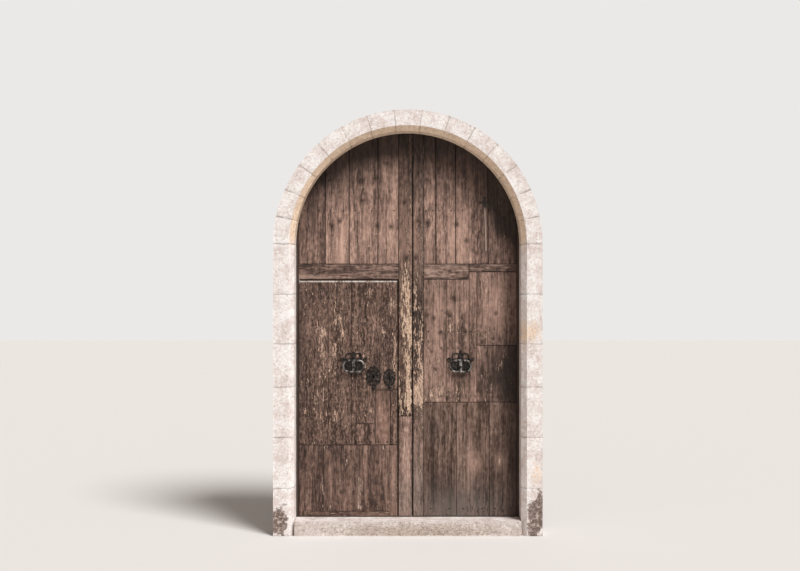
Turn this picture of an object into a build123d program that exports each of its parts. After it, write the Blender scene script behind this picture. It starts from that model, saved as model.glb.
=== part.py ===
from build123d import *
from math import cos, pi, sin
import os

os.makedirs("parts", exist_ok=True)

# An arched double door of weathered softwood with a wicket in its left leaf, hung in a slim
# dressed stone surround. X runs to the right seen from the street, Y runs inward, Z runs up.
# The origin is on the ground, in the middle of the doorway and of the surround's depth.

# Stone surround
opening_width = 1740.0
spring_height = 2122.0
stone_depth = 240.0
stone_width = 160.0
reveal_depth = 177.0
arris_chamfer = 40.0
rebate_width = 50.0
rebate_gap = 1.5
stone_joint = 0.5
course_heights = (363.0, 389.0, 386.0, 329.0, 382.0)
voussoir_count = 15
threshold_height = 110.0
threshold_tail = 60.0
threshold_fit = 0.3

# Leaves
leaf_thickness = 60.0
board_thickness = 28.0
board_setback = 3.0
board_gap = 3.0
board_fit = 0.3
joint_wear_depth = 10.0
leaf_edge_gap = 4.0
floor_gap = 6.0
hanging_stile_width = 64.0
meeting_offset = 38.5
meeting_gap = 9.0
meeting_lip_gap = 0.6
meeting_lip_depth = 10.0
left_stile_width = 105.0
right_stile_width = 80.0
rail_drop = 268.0
rail_height = 118.0
narrow_rail_height = 60.0
rib_width = 110.0
rib_fit = 0.3
upper_ledge_rise = 208.0
ledge_height = 120.0
joint_ledge_height = 139.0
joint_ledge_drop = 60.0
side_ledge_height = 188.0
side_ledge_drop = 50.0
tenon_length = 40.0
tenon_thickness = 20.0
tenon_height = 60.0
tenon_fit = 0.2
splice_height = 786.0
splice_lap = 160.0
left_upper_widths = (162.0, 224.0, 186.0)
right_upper_widths = (96.0, 154.0, 253.0)
right_patch_widths = (177.0, 69.0, 109.0)
right_strip_width = 61.0
right_lower_widths = (257.0, 257.0)
right_joint_height = 895.0
side_joint_height = 1338.0
inlay_groove_height = 1491.0
inlay_groove_size = 4.0

# Wicket
wicket_gap = 9.0
wicket_hinge_gap = 4.0
wicket_top_gap = 10.0
wicket_setback = 1.0
wicket_joint_height = 561.0
wicket_upper_widths = (358.0, 183.0)
wicket_lower_widths = (296.0, 281.0)
wicket_stile_width = 100.0
wicket_rail_height = 120.0
lock_rail_bottom = 950.0
lock_rail_height = 260.0
middle_rail_bottom = 490.0
lip_reach = 12.0
lip_thickness = 20.0
lip_edge_gap = 2.0
lip_seat_gap = 0.5
edge_strip_width = 57.0
repair_width = 116.0
repair_height = 990.0
patch_width = 154.0
patch_height = 729.0
patch_inset = 4.0
bottom_strip_height = 37.0
bottom_strip_ends = (35.0, 66.0)

# Hinges
pin_radius = 8.0
knuckle_radius = 15.0
pin_fit = 0.08
pin_standoff = 17.0
pin_overhang = 5.0
knuckle_length = 46.0
strap_thickness = 8.0
strap_height = 44.0
strap_length = 560.0
strap_tip = 50.0
strap_end_height = 30.0
short_strap_length = 48.0
strap_root_gap = 1.0
crank_length = 20.0
pintle_block_height = 24.0
pintle_block_width = 16.0
pintle_plate = (52.0, 6.0, 64.0)
pintle_tail_radius = 10.0
pintle_tail_length = 80.0
wicket_tail_length = 40.0
seat_fit = 0.3
weld_overlap = 1.0
left_hinge_heights = (220.0, 1290.0)
right_hinge_heights = (71.0, 915.0)
wicket_hinge_heights = (71.0, 555.0)
wicket_hinge_drop = 69.0

# Nails
nail_head_radius = 5.0
nail_tip_radius = 3.5
nail_head_height = 2.0
nail_shank_radius = 2.5
nail_fit = 0.05
nail_clench = 4.0
nail_shares = (0.22, 0.78)
nail_inset = 30.0
wicket_nail_inset = 24.0

# Knockers
knocker_height = 1178.0
left_knocker_offset = -421.0
right_knocker_offset = 412.0
ring_width = 180.0
ring_height = 106.0
ring_bar_radius = 9.0
ring_standoff = 21.0
ring_fit = 0.06
lug_width = 12.0
lug_radius = 15.0
stem_width = 26.0
stem_tip_width = 16.0
stem_thickness = 12.0
stem_fit = 3.0
plate_thickness = 5.0
plate_half = (76.0, 48.0)
crown_base_height = 15.0
crown_radius = 34.0
crown_bar = 10.0
crown_spread = 35.0
crown_rise = 70.0
scroll_radius = 17.0
scroll_bar = 9.0
scroll_spread = 88.0
scroll_rise = 50.0
finial_height = 122.0
finial_width = 16.0
trefoil_radius = 9.0
trefoil_spread = 13.0
strike_radius = 11.0
strike_gap = 1.0
bulb_radius = 14.5
bead_radius = 13.0

# Escutcheons, locks and bolts
escutcheon_thickness = 4.0
large_escutcheon = (-266.0, 1098.0, 125.0, 162.0)
small_escutcheon = (-143.0, 1088.0, 102.0, 136.0)
lobe_radius = 11.0
lobe_count = 14
piercing_radius = 8.5
piercing_count = 8
tail_drop = 40.0
tail_radius = 15.0
keyhole_radius = 7.0
keyhole_slot_width = 6.0
keyhole_slot_length = 22.0
case_depth = 32.0
case_wall = 3.0
large_case = (150.0, 176.0)
small_case = (90.0, 70.0)
large_bolt = (10.0, 28.0)
small_bolt = (8.0, 22.0)
large_bolt_drop = 64.0
bolt_tail_cover = 24.0
bolt_back_gap = 4.0
bolt_fit = 0.3
keeper_slot_fit = 1.0
bolt_tip_gap = 6.0
large_bolt_throw = 30.0
small_bolt_throw = 25.0
lock_keeper = (34.0, 26.0, 52.0)
lock_keeper_gap = 8.0
round_bolt_radius = 9.0
round_bolt_fit = 0.08
keeper_fit = 1.5
guide_size = (44.0, 27.0, 16.0)
bolt_standoff = 14.0
bolt_line_offset = 39.5
head_bolt_length = 620.0
foot_bolt_length = 460.0
cross_bolt_length = 260.0
cross_bolt_height = 1390.0
upright_bolt_throw = 45.0
cross_bolt_throw = 60.0
bolt_rest_gap = 8.0
bolt_handle = (5.0, 34.0)
upright_guide_inset = 105.0
cross_guide_inset = 35.0
head_keeper_width = 36.0
head_keeper_height = 36.0
head_keeper_cover = 16.0
cross_keeper_length = 33.0

# Iron cross on the right leaf
cross_offset = 600.0
cross_rise = 330.0
cross_arm = (36.0, 11.0)
cross_thickness = 6.0
cross_ring = (17.0, 6.0)
cross_stem = (9.0, 340.0)
cross_stem_slant = 1.6

# Planes and radii that follow from the sizes above
opening_radius = opening_width / 2
outer_radius = opening_radius + stone_width
rebate_radius = opening_radius + rebate_width
leaf_radius = rebate_radius - leaf_edge_gap
floor_z = threshold_height
spring_z = floor_z + spring_height
front_y = -stone_depth / 2
back_y = stone_depth / 2
leaf_front_y = front_y + reveal_depth
leaf_back_y = leaf_front_y + leaf_thickness
step_y = leaf_front_y - rebate_gap
board_front_y = leaf_front_y + board_setback
wicket_front_y = leaf_front_y + wicket_setback
board_back_y = leaf_front_y + board_thickness
leaf_bottom_z = floor_z + floor_gap
crown_z = spring_z + leaf_radius
rail_bottom = spring_height - rail_drop
upper_ledge_bottom = spring_height + upper_ledge_rise
cross_height = spring_height + cross_rise
wicket_pin_heights = wicket_hinge_heights + (rail_bottom - wicket_hinge_drop,)
rail_bottom_z = floor_z + rail_bottom
rail_top_z = rail_bottom_z + rail_height
rail_middle = rail_bottom + rail_height / 2
stile_inner_x = leaf_radius - hanging_stile_width
left_meeting_x = meeting_offset - meeting_gap / 2
right_meeting_x = meeting_offset + meeting_gap / 2
left_stile_x = left_meeting_x - left_stile_width
right_stile_x = right_meeting_x + right_stile_width
wicket_left_x = -stile_inner_x + wicket_hinge_gap
wicket_right_x = left_stile_x - wicket_gap
wicket_top_z = rail_bottom_z - wicket_top_gap
lip_front_y = leaf_back_y - lip_thickness
lip_edge_x = left_stile_x + lip_reach
lip_top_z = rail_bottom_z + lip_reach
leaf_pin_x = rebate_radius + pin_overhang
leaf_pin_y = back_y + pin_standoff
wicket_pin_x = -stile_inner_x - pin_overhang
wicket_pin_y = leaf_back_y + pin_standoff


def slab(x0, x1, y0, y1, z0, z1):
    middle = Pos((x0 + x1) / 2, (y0 + y1) / 2, (z0 + z1) / 2)
    return middle * Box(x1 - x0, y1 - y0, z1 - z0)


def rod_x(radius, x0, x1, y, z):
    return Pos((x0 + x1) / 2, y, z) * Rot(0, 90, 0) * Cylinder(radius, x1 - x0)


def rod_y(radius, y0, y1, x, z):
    return Pos(x, (y0 + y1) / 2, z) * Rot(90, 0, 0) * Cylinder(radius, y1 - y0)


def rod_z(radius, z0, z1, x, y):
    return Pos(x, y, (z0 + z1) / 2) * Cylinder(radius, z1 - z0)


def arched(radius, y0, y1):
    body = slab(-radius, radius, y0, y1, 0, spring_z)
    return body + rod_y(radius, y0, y1, 0, spring_z)


def raised(sketch, x, y_front, z, thickness):
    # A drawing in X and Z, thickened inward from its front plane.
    plane = Plane(origin=(x, y_front, z), x_dir=(1, 0, 0), z_dir=(0, -1, 0))
    return extrude(plane * sketch, amount=-thickness)


def mirrored(shape):
    return mirror(shape, about=Plane.YZ)


def save(name, *solids):
    shape = solids[0] if len(solids) == 1 else Compound(children=list(solids))
    shape.label = name
    export_step(shape, f"parts/{name}.step")


# Stone surround


def stone_section():
    corners = [
        (opening_radius + arris_chamfer, front_y),
        (outer_radius, front_y),
        (outer_radius, back_y),
        (rebate_radius, back_y),
        (rebate_radius, step_y),
        (opening_radius, step_y),
        (opening_radius, front_y + arris_chamfer),
    ]
    return make_face(Polyline(*corners, close=True))


def voussoir(number):
    pitch = 180 / voussoir_count
    trim = stone_joint / opening_radius * 180 / pi
    wedge = revolve(stone_section(), axis=Axis.Y, revolution_arc=pitch - trim)
    turn = number * pitch + pitch - trim / 2
    return Pos(0, 0, spring_z) * Rot(0, -turn, 0) * wedge


def jamb_stones(hinge_heights):
    stones = []
    bottom = 0
    tops = [sum(course_heights[: count + 1]) for count in range(len(course_heights))]
    for top in tops + [spring_z]:
        stone = extrude(stone_section(), amount=top - bottom - stone_joint)
        stones.append(Pos(0, 0, bottom) * stone)
        bottom = top
    tail_x = leaf_pin_x + pintle_plate[0] / 2
    for height in hinge_heights:
        depth_y = back_y - pintle_tail_length - seat_fit
        hole = rod_y(pintle_tail_radius + seat_fit, depth_y, back_y, tail_x, floor_z + height)
        stones = [drilled_where_met(stone, hole) for stone in stones]
    return stones


def drilled_where_met(solid, hole):
    here = solid.bounding_box()
    there = hole.bounding_box()
    apart = here.min.Z > there.max.Z or here.max.Z < there.min.Z
    return solid if apart else solid - hole


def threshold_slab():
    half_front = opening_radius - threshold_fit
    half_back = rebate_radius - threshold_fit
    front = slab(-half_front, half_front, front_y, step_y, 0, floor_z)
    back = slab(-half_back, half_back, step_y, back_y + threshold_tail, 0, floor_z)
    depth = floor_z - upright_bolt_throw - bolt_rest_gap
    return front + back - bolt_socket(depth, floor_z)


def bolt_socket(low, high):
    # A square hole on the line of the upright bolts, wide enough for them to drop in.
    x = meeting_offset + bolt_line_offset
    y = bolt_line_y()
    half = round_bolt_radius + keeper_fit
    return slab(x - half, x + half, y - half, y + half, low, high)


def pintle(x, y, z, face_y, tail_length, tail_radius, outward):
    # The pin stands on a block, the block on a plate, and a tail runs into the wall or the stile.
    block_top = z - knuckle_length / 2 - seat_fit
    half = pintle_block_width / 2
    plate_x, plate_y, plate_z = pintle_plate
    pin = rod_z(pin_radius, block_top - weld_overlap, z + knuckle_length / 2 + seat_fit, x, y)
    block = slab(x - half, x + half, face_y, y + half, block_top - pintle_block_height, block_top)
    ends = sorted((x - outward * half, x + outward * plate_x))
    plate = slab(ends[0], ends[1], face_y, face_y + plate_y, z - plate_z, block_top)
    tail_x = x + outward * plate_x / 2
    tail = rod_y(tail_radius, face_y - tail_length, face_y + weld_overlap, tail_x, z)
    lug = slab(tail_x - half, tail_x + half, face_y, face_y + plate_y, block_top, z + half)
    return pin + block + plate + lug + tail


def head_bolt_keeper():
    # A staple on the back of the arch; the stone closes its fourth side.
    x = meeting_offset + bolt_line_offset
    half = head_keeper_width / 2
    hole = round_bolt_radius + keeper_fit
    bottom = spring_z + rebate_radius + bolt_rest_gap
    top = bottom + head_keeper_height
    block = slab(x - half, x + half, back_y, bolt_line_y() + head_keeper_cover, bottom, top)
    return block - slab(x - hole, x + hole, back_y, bolt_line_y() + hole, bottom, top)


def make_frame():
    right_heights = right_hinge_heights + (rail_middle,)
    left_heights = left_hinge_heights + (rail_middle,)
    right_stones = jamb_stones(right_heights)
    left_stones = jamb_stones(left_heights)
    middle = voussoir_count // 2
    save("threshold_slab", threshold_slab())
    save("right_jamb_stones", *right_stones)
    save("left_jamb_stones", *[mirrored(stone) for stone in left_stones])
    save("right_voussoirs", *[voussoir(number) for number in range(middle)])
    save("keystone", voussoir(middle))
    save("left_voussoirs", *[voussoir(number) for number in range(middle + 1, voussoir_count)])
    pintles = []
    tail = (pintle_tail_length, pintle_tail_radius)
    for side, heights in ((1, right_heights), (-1, left_heights)):
        for height in heights:
            pintles.append(pintle(side * leaf_pin_x, leaf_pin_y, floor_z + height, back_y, *tail, side))
    save("leaf_pintles", *pintles)
    save("head_bolt_keeper", head_bolt_keeper())


# Timber helpers


def board(x0, x1, z0, z1, front=board_front_y):
    # The boards meet closely, and their front edges are worn back into an open joint.
    fit = board_fit / 2
    half = board_gap / 2
    worn_y = front + joint_wear_depth
    face = slab(x0 + half, x1 - half, front, worn_y, z0 + half, z1 - half)
    return face + slab(x0 + fit, x1 - fit, worn_y, board_back_y, z0 + fit, z1 - fit)


def ledge(x0, x1, z0, z1):
    return slab(x0, x1, board_back_y, leaf_back_y, z0, z1)


def under_arch(shape, radius=leaf_radius):
    return shape & arched(radius, front_y, back_y)


def run_of_boards(start, widths, stop, z0, z1, front=board_front_y):
    # Boards side by side from start towards stop; the last one takes what is left.
    side = 1 if stop > start else -1
    edges = [start]
    for width in widths:
        edges.append(edges[-1] + side * width)
    edges.append(stop)
    return [board(min(pair), max(pair), z0, z1, front) for pair in zip(edges, edges[1:])]


def nail(x, z, face):
    tip = leaf_back_y - nail_clench
    place = Pos(x, face - nail_head_height / 2, z) * Rot(90, 0, 0)
    head = place * Cone(nail_head_radius, nail_tip_radius, nail_head_height)
    return head + rod_y(nail_shank_radius, face - weld_overlap, tip, x, z)


def nail_points(boards, heights):
    # Two nails in each board where it crosses a ledge.
    points = []
    for piece in boards:
        box = piece.bounding_box()
        for z in heights:
            if box.min.Z + nail_head_radius * 2 < z < box.max.Z - nail_head_radius * 2:
                for share in nail_shares:
                    points.append((box.min.X + share * box.size.X, z))
    return points


def nailed(solids, points):
    # Cuts the nails' holes through every solid that they pass.
    tip = leaf_back_y - nail_clench
    result = []
    for solid in solids:
        box = solid.bounding_box()
        for x, z in points:
            if box.min.X < x < box.max.X and box.min.Z < z < box.max.Z:
                solid = solid - rod_y(nail_shank_radius + nail_fit, front_y, tip, x, z)
        result.append(solid)
    return result


def tenon(x0, x1, z, fit=0.0):
    y = leaf_front_y + leaf_thickness / 2
    half = tenon_thickness / 2 + fit
    rise = tenon_height / 2 + fit
    return slab(x0 - fit, x1 + fit, y - half, y + half, z - rise, z + rise)


def rail_tenon_z():
    return rail_top_z - narrow_rail_height / 2 - 2


def strap(side, pin_x, pin_y, z, length, height):
    # A flat bar with a leaf tip, cranked at its root into a rolled eye around the pin.
    root = -side * (pin_overhang + leaf_edge_gap + strap_root_gap)
    outline = Polyline(
        (0, -height / 2),
        (-side * (length - strap_tip), -strap_end_height / 2),
        (-side * length, 0),
        (-side * (length - strap_tip), strap_end_height / 2),
        (0, height / 2),
        close=True,
    )
    bar = raised(make_face(outline), pin_x + root, leaf_back_y, z, strap_thickness)
    return bar + strap_eye(side, pin_x, pin_y, z, height)


def strap_eye(side, pin_x, pin_y, z, height):
    crank_front = pin_y - knuckle_radius
    crank_back = crank_front + strap_thickness
    ends = sorted((pin_x, pin_x - side * crank_length))
    crank = slab(ends[0], ends[1], crank_front, crank_back, z - height / 2, z + height / 2)
    half = knuckle_length / 2
    eye = rod_z(knuckle_radius, z - half, z + half, pin_x, pin_y)
    bore = rod_z(pin_radius + pin_fit, z - half, z + half, pin_x, pin_y)
    return crank + eye - bore


def short_strap(side, pin_x, pin_y, z):
    # A stubby plate that stays on the hanging stile, beside the wicket.
    root = pin_x - side * (pin_overhang + leaf_edge_gap + strap_root_gap)
    ends = sorted((root, root - side * short_strap_length))
    plate_half = strap_height
    back = leaf_back_y + strap_thickness
    plate = slab(ends[0], ends[1], leaf_back_y, back, z - plate_half, z + plate_half)
    return plate + strap_eye(side, pin_x, pin_y, z, strap_height)


# Left leaf


def left_rail():
    z = rail_tenon_z()
    rail = slab(-stile_inner_x, left_stile_x, leaf_front_y, leaf_back_y, rail_bottom_z, rail_top_z)
    rail += tenon(-stile_inner_x - tenon_length, left_stile_x + tenon_length, z)
    rebate_top = lip_top_z + lip_edge_gap
    rebate_front = lip_front_y - lip_seat_gap
    rebate = slab(-stile_inner_x, left_stile_x, rebate_front, leaf_back_y, rail_bottom_z, rebate_top)
    return rail - rebate


def left_hanging_stile():
    stile = slab(-leaf_radius, -stile_inner_x, leaf_front_y, leaf_back_y, leaf_bottom_z, crown_z)
    stile = under_arch(stile)
    stile -= tenon(-stile_inner_x - tenon_length, -stile_inner_x, rail_tenon_z(), tenon_fit)
    for height in wicket_pin_heights:
        tail_x = wicket_pin_x - pintle_plate[0] / 2
        hole_front = leaf_back_y - wicket_tail_length - seat_fit
        radius = pintle_tail_radius / 2 + seat_fit
        stile -= rod_y(radius, hole_front, leaf_back_y, tail_x, floor_z + height)
    return stile


def left_meeting_column():
    lip_x = meeting_offset - meeting_lip_gap / 2
    lip_y = leaf_back_y - meeting_lip_depth
    column = slab(left_stile_x, left_meeting_x, leaf_front_y, leaf_back_y, leaf_bottom_z, crown_z)
    column += slab(left_meeting_x, lip_x, lip_y, leaf_back_y, leaf_bottom_z, crown_z)
    rebate_top = lip_top_z + lip_edge_gap
    rebate_x = lip_edge_x + lip_edge_gap
    rebate_front = lip_front_y - lip_seat_gap
    column -= slab(left_stile_x, rebate_x, rebate_front, leaf_back_y, leaf_bottom_z, rebate_top)
    column -= tenon(left_stile_x, left_stile_x + tenon_length, rail_tenon_z(), tenon_fit)
    return under_arch(column)


def left_meeting_parts():
    # The splice is a newer foot, half lapped behind the old stile.
    column = left_meeting_column()
    joint_z = floor_z + splice_height
    lap_y = leaf_front_y + leaf_thickness / 2
    reach = leaf_radius * 2
    low = slab(-reach, reach, front_y, back_y, 0, joint_z)
    lap = slab(-reach, reach, lap_y, back_y, joint_z, joint_z + splice_lap)
    return column - (low + lap), column & (low + lap)


def arch_rib(x0, x1):
    outer = under_arch(ledge(x0, x1, rail_top_z, crown_z))
    inner = arched(leaf_radius - rib_width, front_y, back_y)
    return outer - inner


def upper_ledge(x0, x1):
    bottom = floor_z + upper_ledge_bottom
    return under_arch(ledge(x0, x1, bottom, bottom + ledge_height), leaf_radius - rib_width - rib_fit)


def bolt_line_y():
    return leaf_back_y + bolt_standoff


def cross_bolt_keeper():
    width, depth, thick = guide_size
    z = floor_z + cross_bolt_height
    right = left_meeting_x - bolt_rest_gap
    left = right - cross_keeper_length
    block = slab(left, right, leaf_back_y, leaf_back_y + depth, z - width / 2, z + width / 2)
    half = round_bolt_radius + keeper_fit
    y = bolt_line_y()
    return block - slab(left, right, y - half, y + half, z - half, z + half)


def lock_keeper_block(z, bar):
    width, depth, height = lock_keeper
    left = lip_edge_x + lip_edge_gap + lock_keeper_gap
    thick, tall = bar
    block = slab(left, left + width, leaf_back_y, leaf_back_y + depth, z - height / 2, z + height / 2)
    slot_y = leaf_back_y + bolt_back_gap - keeper_slot_fit
    slot_top = z + tall / 2 + keeper_slot_fit
    slot_low = z - tall / 2 - keeper_slot_fit
    slot_end = slot_y + thick + 2 * keeper_slot_fit
    return block - slab(left, left + width, slot_y, slot_end, slot_low, slot_top)


def make_left_leaf():
    upper = run_of_boards(left_stile_x, left_upper_widths, -stile_inner_x, rail_top_z, crown_z)
    upper = [under_arch(piece) for piece in upper]
    ledges = [upper_ledge(-stile_inner_x, left_stile_x)]
    heights = (floor_z + upper_ledge_bottom + ledge_height / 2,)
    points = nail_points(upper, heights)
    rib = arch_rib(-stile_inner_x, left_stile_x)
    stile, splice = left_meeting_parts()
    save("left_upper_boards", *nailed(upper, points))
    save("left_upper_ledge", *nailed(ledges, points))
    save("left_arch_rib", *nailed([rib], points))
    save("left_leaf_nails", *[nail(x, z, board_front_y) for x, z in points])
    save("left_transom_rail", left_rail())
    save("left_hanging_stile", left_hanging_stile())
    save("left_meeting_stile", stile)
    save("left_stile_splice", splice)
    rail_z = floor_z + rail_middle
    straps = [strap(-1, -leaf_pin_x, leaf_pin_y, rail_z, strap_length, strap_height)]
    for height in left_hinge_heights:
        straps.append(short_strap(-1, -leaf_pin_x, leaf_pin_y, floor_z + height))
    save("left_leaf_straps", *straps)
    pintles = []
    for height in wicket_pin_heights:
        z = floor_z + height
        tail = pintle_tail_radius / 2
        pintles.append(pintle(wicket_pin_x, wicket_pin_y, z, leaf_back_y, wicket_tail_length, tail, -1))
    save("wicket_pintles", *pintles)
    large_z = floor_z + large_escutcheon[1] - large_bolt_drop
    small_z = floor_z + small_escutcheon[1]
    keepers = [lock_keeper_block(large_z, large_bolt), lock_keeper_block(small_z, small_bolt)]
    save("left_leaf_keepers", cross_bolt_keeper(), *keepers)


# Wicket


def keyhole(x, z, y0, y1):
    half = keyhole_slot_width / 2
    slot = slab(x - half, x + half, y0, y1, z - keyhole_slot_length, z)
    return rod_y(keyhole_radius, y0, y1, x, z) + slot


def keyholes():
    holes = []
    for x, height, width, tall in (large_escutcheon, small_escutcheon):
        holes.append(keyhole(x, floor_z + height, front_y, leaf_back_y))
    return holes


def wicket_lock_stile(top):
    stile = ledge(wicket_right_x - wicket_stile_width, wicket_right_x, leaf_bottom_z, top)
    lip = slab(wicket_right_x, lip_edge_x, lip_front_y, leaf_back_y, leaf_bottom_z, top)
    return stile + lip


def wicket_rails(x0, x1, top):
    wide = ledge(wicket_left_x, wicket_right_x, top, wicket_top_z)
    lip = slab(wicket_left_x, lip_edge_x, lip_front_y, leaf_back_y, top, lip_top_z)
    lock_z = floor_z + lock_rail_bottom
    middle_z = floor_z + middle_rail_bottom
    lock = ledge(x0, x1, lock_z, lock_z + lock_rail_height)
    middle = ledge(x0, x1, middle_z, middle_z + wicket_rail_height)
    bottom = ledge(x0, x1, leaf_bottom_z, leaf_bottom_z + wicket_rail_height)
    return [wide + lip, lock, middle, bottom]


def wicket_upper_boards():
    # The board at the lock side is pieced out below its lock by three later patches.
    joint_z = floor_z + wicket_joint_height
    fit = board_fit / 2
    top = wicket_top_z + fit
    edge = wicket_right_x + fit
    start = wicket_left_x - fit
    face = wicket_front_y
    boards = run_of_boards(edge, wicket_upper_widths, start, joint_z, top, face)
    strip_x = edge - edge_strip_width
    repair_x = strip_x - repair_width
    patch_right = repair_x - patch_inset
    patch_left = patch_right - patch_width
    repair_z = floor_z + repair_height
    patch_z = floor_z + patch_height
    boards[0] -= slab(repair_x - fit, edge, face, board_back_y, joint_z, repair_z + fit)
    boards[0] -= slab(patch_left - fit, patch_right + fit, face, board_back_y, joint_z, patch_z + fit)
    strip = board(strip_x, edge, joint_z, repair_z, face)
    repair = board(repair_x, strip_x, joint_z, repair_z, face)
    patch = board(patch_left, patch_right, joint_z, patch_z, face)
    return boards, strip, repair, patch


def wicket_lower_boards():
    joint_z = floor_z + wicket_joint_height
    fit = board_fit / 2
    low = leaf_bottom_z - fit
    edge = wicket_right_x + fit
    start = wicket_left_x - fit
    boards = run_of_boards(edge, wicket_lower_widths, start, low, joint_z, wicket_front_y)
    left_end = wicket_left_x + bottom_strip_ends[0]
    right_end = wicket_right_x - bottom_strip_ends[1]
    strip_top = leaf_bottom_z + bottom_strip_height
    strip = slab(left_end, right_end, wicket_front_y, board_back_y, leaf_bottom_z, strip_top)
    gap = board_gap / 2
    room = slab(left_end - gap, right_end + gap, wicket_front_y, board_back_y, low, strip_top + gap)
    return [piece - room for piece in boards], strip


def lock_case(x, z, size, slot_z, bar):
    width, height = size
    thick, tall = bar
    right = x + width / 2
    back = leaf_back_y + case_depth
    shell = slab(x - width / 2, right, leaf_back_y, back, z - height / 2, z + height / 2)
    wall = case_wall
    room = slab(x - width / 2 + wall, right - wall, leaf_back_y, back - wall,
                z - height / 2 + wall, z + height / 2 - wall)
    slot_y = leaf_back_y + bolt_back_gap - bolt_fit
    slot_end = slot_y + thick + 2 * bolt_fit
    half = tall / 2 + bolt_fit
    slot = slab(right - wall, right, slot_y, slot_end, slot_z - half, slot_z + half)
    return shell - room - slot


def lock_bolt(case_right, z, bar, throw):
    # The tail is thicker than the slot, so it stops the bolt inside the case.
    thick, tall = bar
    tip = lip_edge_x - bolt_tip_gap
    tail = case_right - case_wall - throw - bolt_back_gap - bolt_tail_cover
    y0 = leaf_back_y + bolt_back_gap
    bolt = slab(tail, tip, y0, y0 + thick, z - tall / 2, z + tall / 2)
    stump = slab(tail, tail + bolt_tail_cover, y0, y0 + thick * 2, z - tall / 4, z + tall / 4)
    return bolt + stump


def escutcheon(x, height, width, tall):
    # A pierced shield: an oval with a scalloped edge, a drop below it and a keyhole.
    scallops = Ellipse(width / 2 - lobe_radius / 2, tall / 2 - lobe_radius / 2)
    for number in range(lobe_count):
        angle = 2 * pi * (number + 0.5) / lobe_count
        centre_x = (width / 2 - lobe_radius) * cos(angle)
        centre_z = (tall / 2 - lobe_radius) * sin(angle)
        scallops += Pos(centre_x, centre_z) * Circle(lobe_radius)
    scallops += Pos(0, -tall / 2 - tail_drop / 3) * Circle(tail_radius)
    for number in range(piercing_count):
        angle = 2 * pi * (number + 0.5) / piercing_count
        hole_x = (width / 2 - lobe_radius * 2) * cos(angle)
        hole_z = (tall / 2 - lobe_radius * 2) * sin(angle)
        scallops -= Pos(hole_x, hole_z) * Circle(piercing_radius)
    plate = raised(scallops, x, wicket_front_y - escutcheon_thickness, floor_z + height,
                   escutcheon_thickness)
    return plate - keyhole(x, floor_z + height, front_y, leaf_back_y)


def make_wicket():
    upper, strip, repair, patch = wicket_upper_boards()
    lower, bottom_strip = wicket_lower_boards()
    rail_low = wicket_top_z - wicket_rail_height
    stile_right = wicket_left_x + wicket_stile_width
    stile_left = wicket_right_x - wicket_stile_width
    hinge_stile = ledge(wicket_left_x, stile_right, leaf_bottom_z, rail_low)
    lock_stile = wicket_lock_stile(rail_low)
    rails = wicket_rails(stile_right, stile_left, rail_low)
    middle_z = floor_z + middle_rail_bottom
    ledge_heights = (
        leaf_bottom_z + wicket_rail_height - wicket_nail_inset,
        middle_z + wicket_nail_inset,
        middle_z + wicket_rail_height - wicket_nail_inset,
        floor_z + lock_rail_bottom + lock_rail_height - wicket_nail_inset,
        rail_low + wicket_rail_height / 2,
    )
    every_board = upper + [strip, repair, patch] + lower
    points = nail_points(every_board, ledge_heights)
    points = [point for point in points if clear_of_escutcheons(point)]
    points = [point for point in points if clear_of_knocker(point, left_knocker_offset)]
    face = wicket_front_y
    holes = keyholes()
    cut = nailed(upper, points)
    cut[0] = cut[0] - holes[0] - holes[1]
    for number, piece in enumerate(cut, 1):
        save(f"wicket_upper_board_{number}", piece)
    save("wicket_edge_strip", *nailed([strip], points))
    save("wicket_repair_board", *nailed([repair], points))
    save("wicket_small_patch", *nailed([patch], points))
    save("wicket_lower_boards", *nailed(lower, points))
    save("wicket_bottom_strip", bottom_strip)
    save("wicket_hinge_stile", *nailed([hinge_stile], points))
    save("wicket_lock_stile", nailed([lock_stile], points)[0] - holes[1])
    cut_rails = nailed(rails, points)
    cut_rails[1] = cut_rails[1] - holes[0]
    save("wicket_rails", *cut_rails)
    save("wicket_nails", *[nail(x, z, face) for x, z in points])
    straps = []
    for height in wicket_pin_heights:
        z = floor_z + height
        straps.append(strap(-1, wicket_pin_x, wicket_pin_y, z, strap_length, strap_height))
    save("wicket_straps", *straps)
    save("large_escutcheon", escutcheon(*large_escutcheon))
    save("small_escutcheon", escutcheon(*small_escutcheon))
    make_locks()


def clear_of_escutcheons(point):
    x, z = point
    clear = True
    for place_x, height, width, tall in (large_escutcheon, small_escutcheon):
        near_x = abs(x - place_x) < width / 2 + nail_head_radius * 2
        near_z = abs(z - floor_z - height) < tall / 2 + tail_drop
        clear = clear and not (near_x and near_z)
    return clear


def clear_of_knocker(point, offset):
    near_x = abs(point[0] - offset) < scroll_spread + scroll_radius + nail_head_radius
    near_z = abs(point[1] - floor_z - knocker_height) < finial_height + nail_head_radius
    return not (near_x and near_z)


def make_locks():
    large_z = floor_z + large_escutcheon[1]
    small_z = floor_z + small_escutcheon[1]
    large_right = large_escutcheon[0] + large_case[0] / 2
    small_right = small_escutcheon[0] + small_case[0] / 2
    large_bolt_z = large_z - large_bolt_drop
    large_shell = lock_case(large_escutcheon[0], large_z, large_case, large_bolt_z, large_bolt)
    small_shell = lock_case(small_escutcheon[0], small_z, small_case, small_z, small_bolt)
    save("large_lock_case", large_shell)
    save("small_lock_case", small_shell)
    save("large_lock_bolt", lock_bolt(large_right, large_bolt_z, large_bolt, large_bolt_throw))
    save("small_lock_bolt", lock_bolt(small_right, small_z, small_bolt, small_bolt_throw))


# Right leaf


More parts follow.
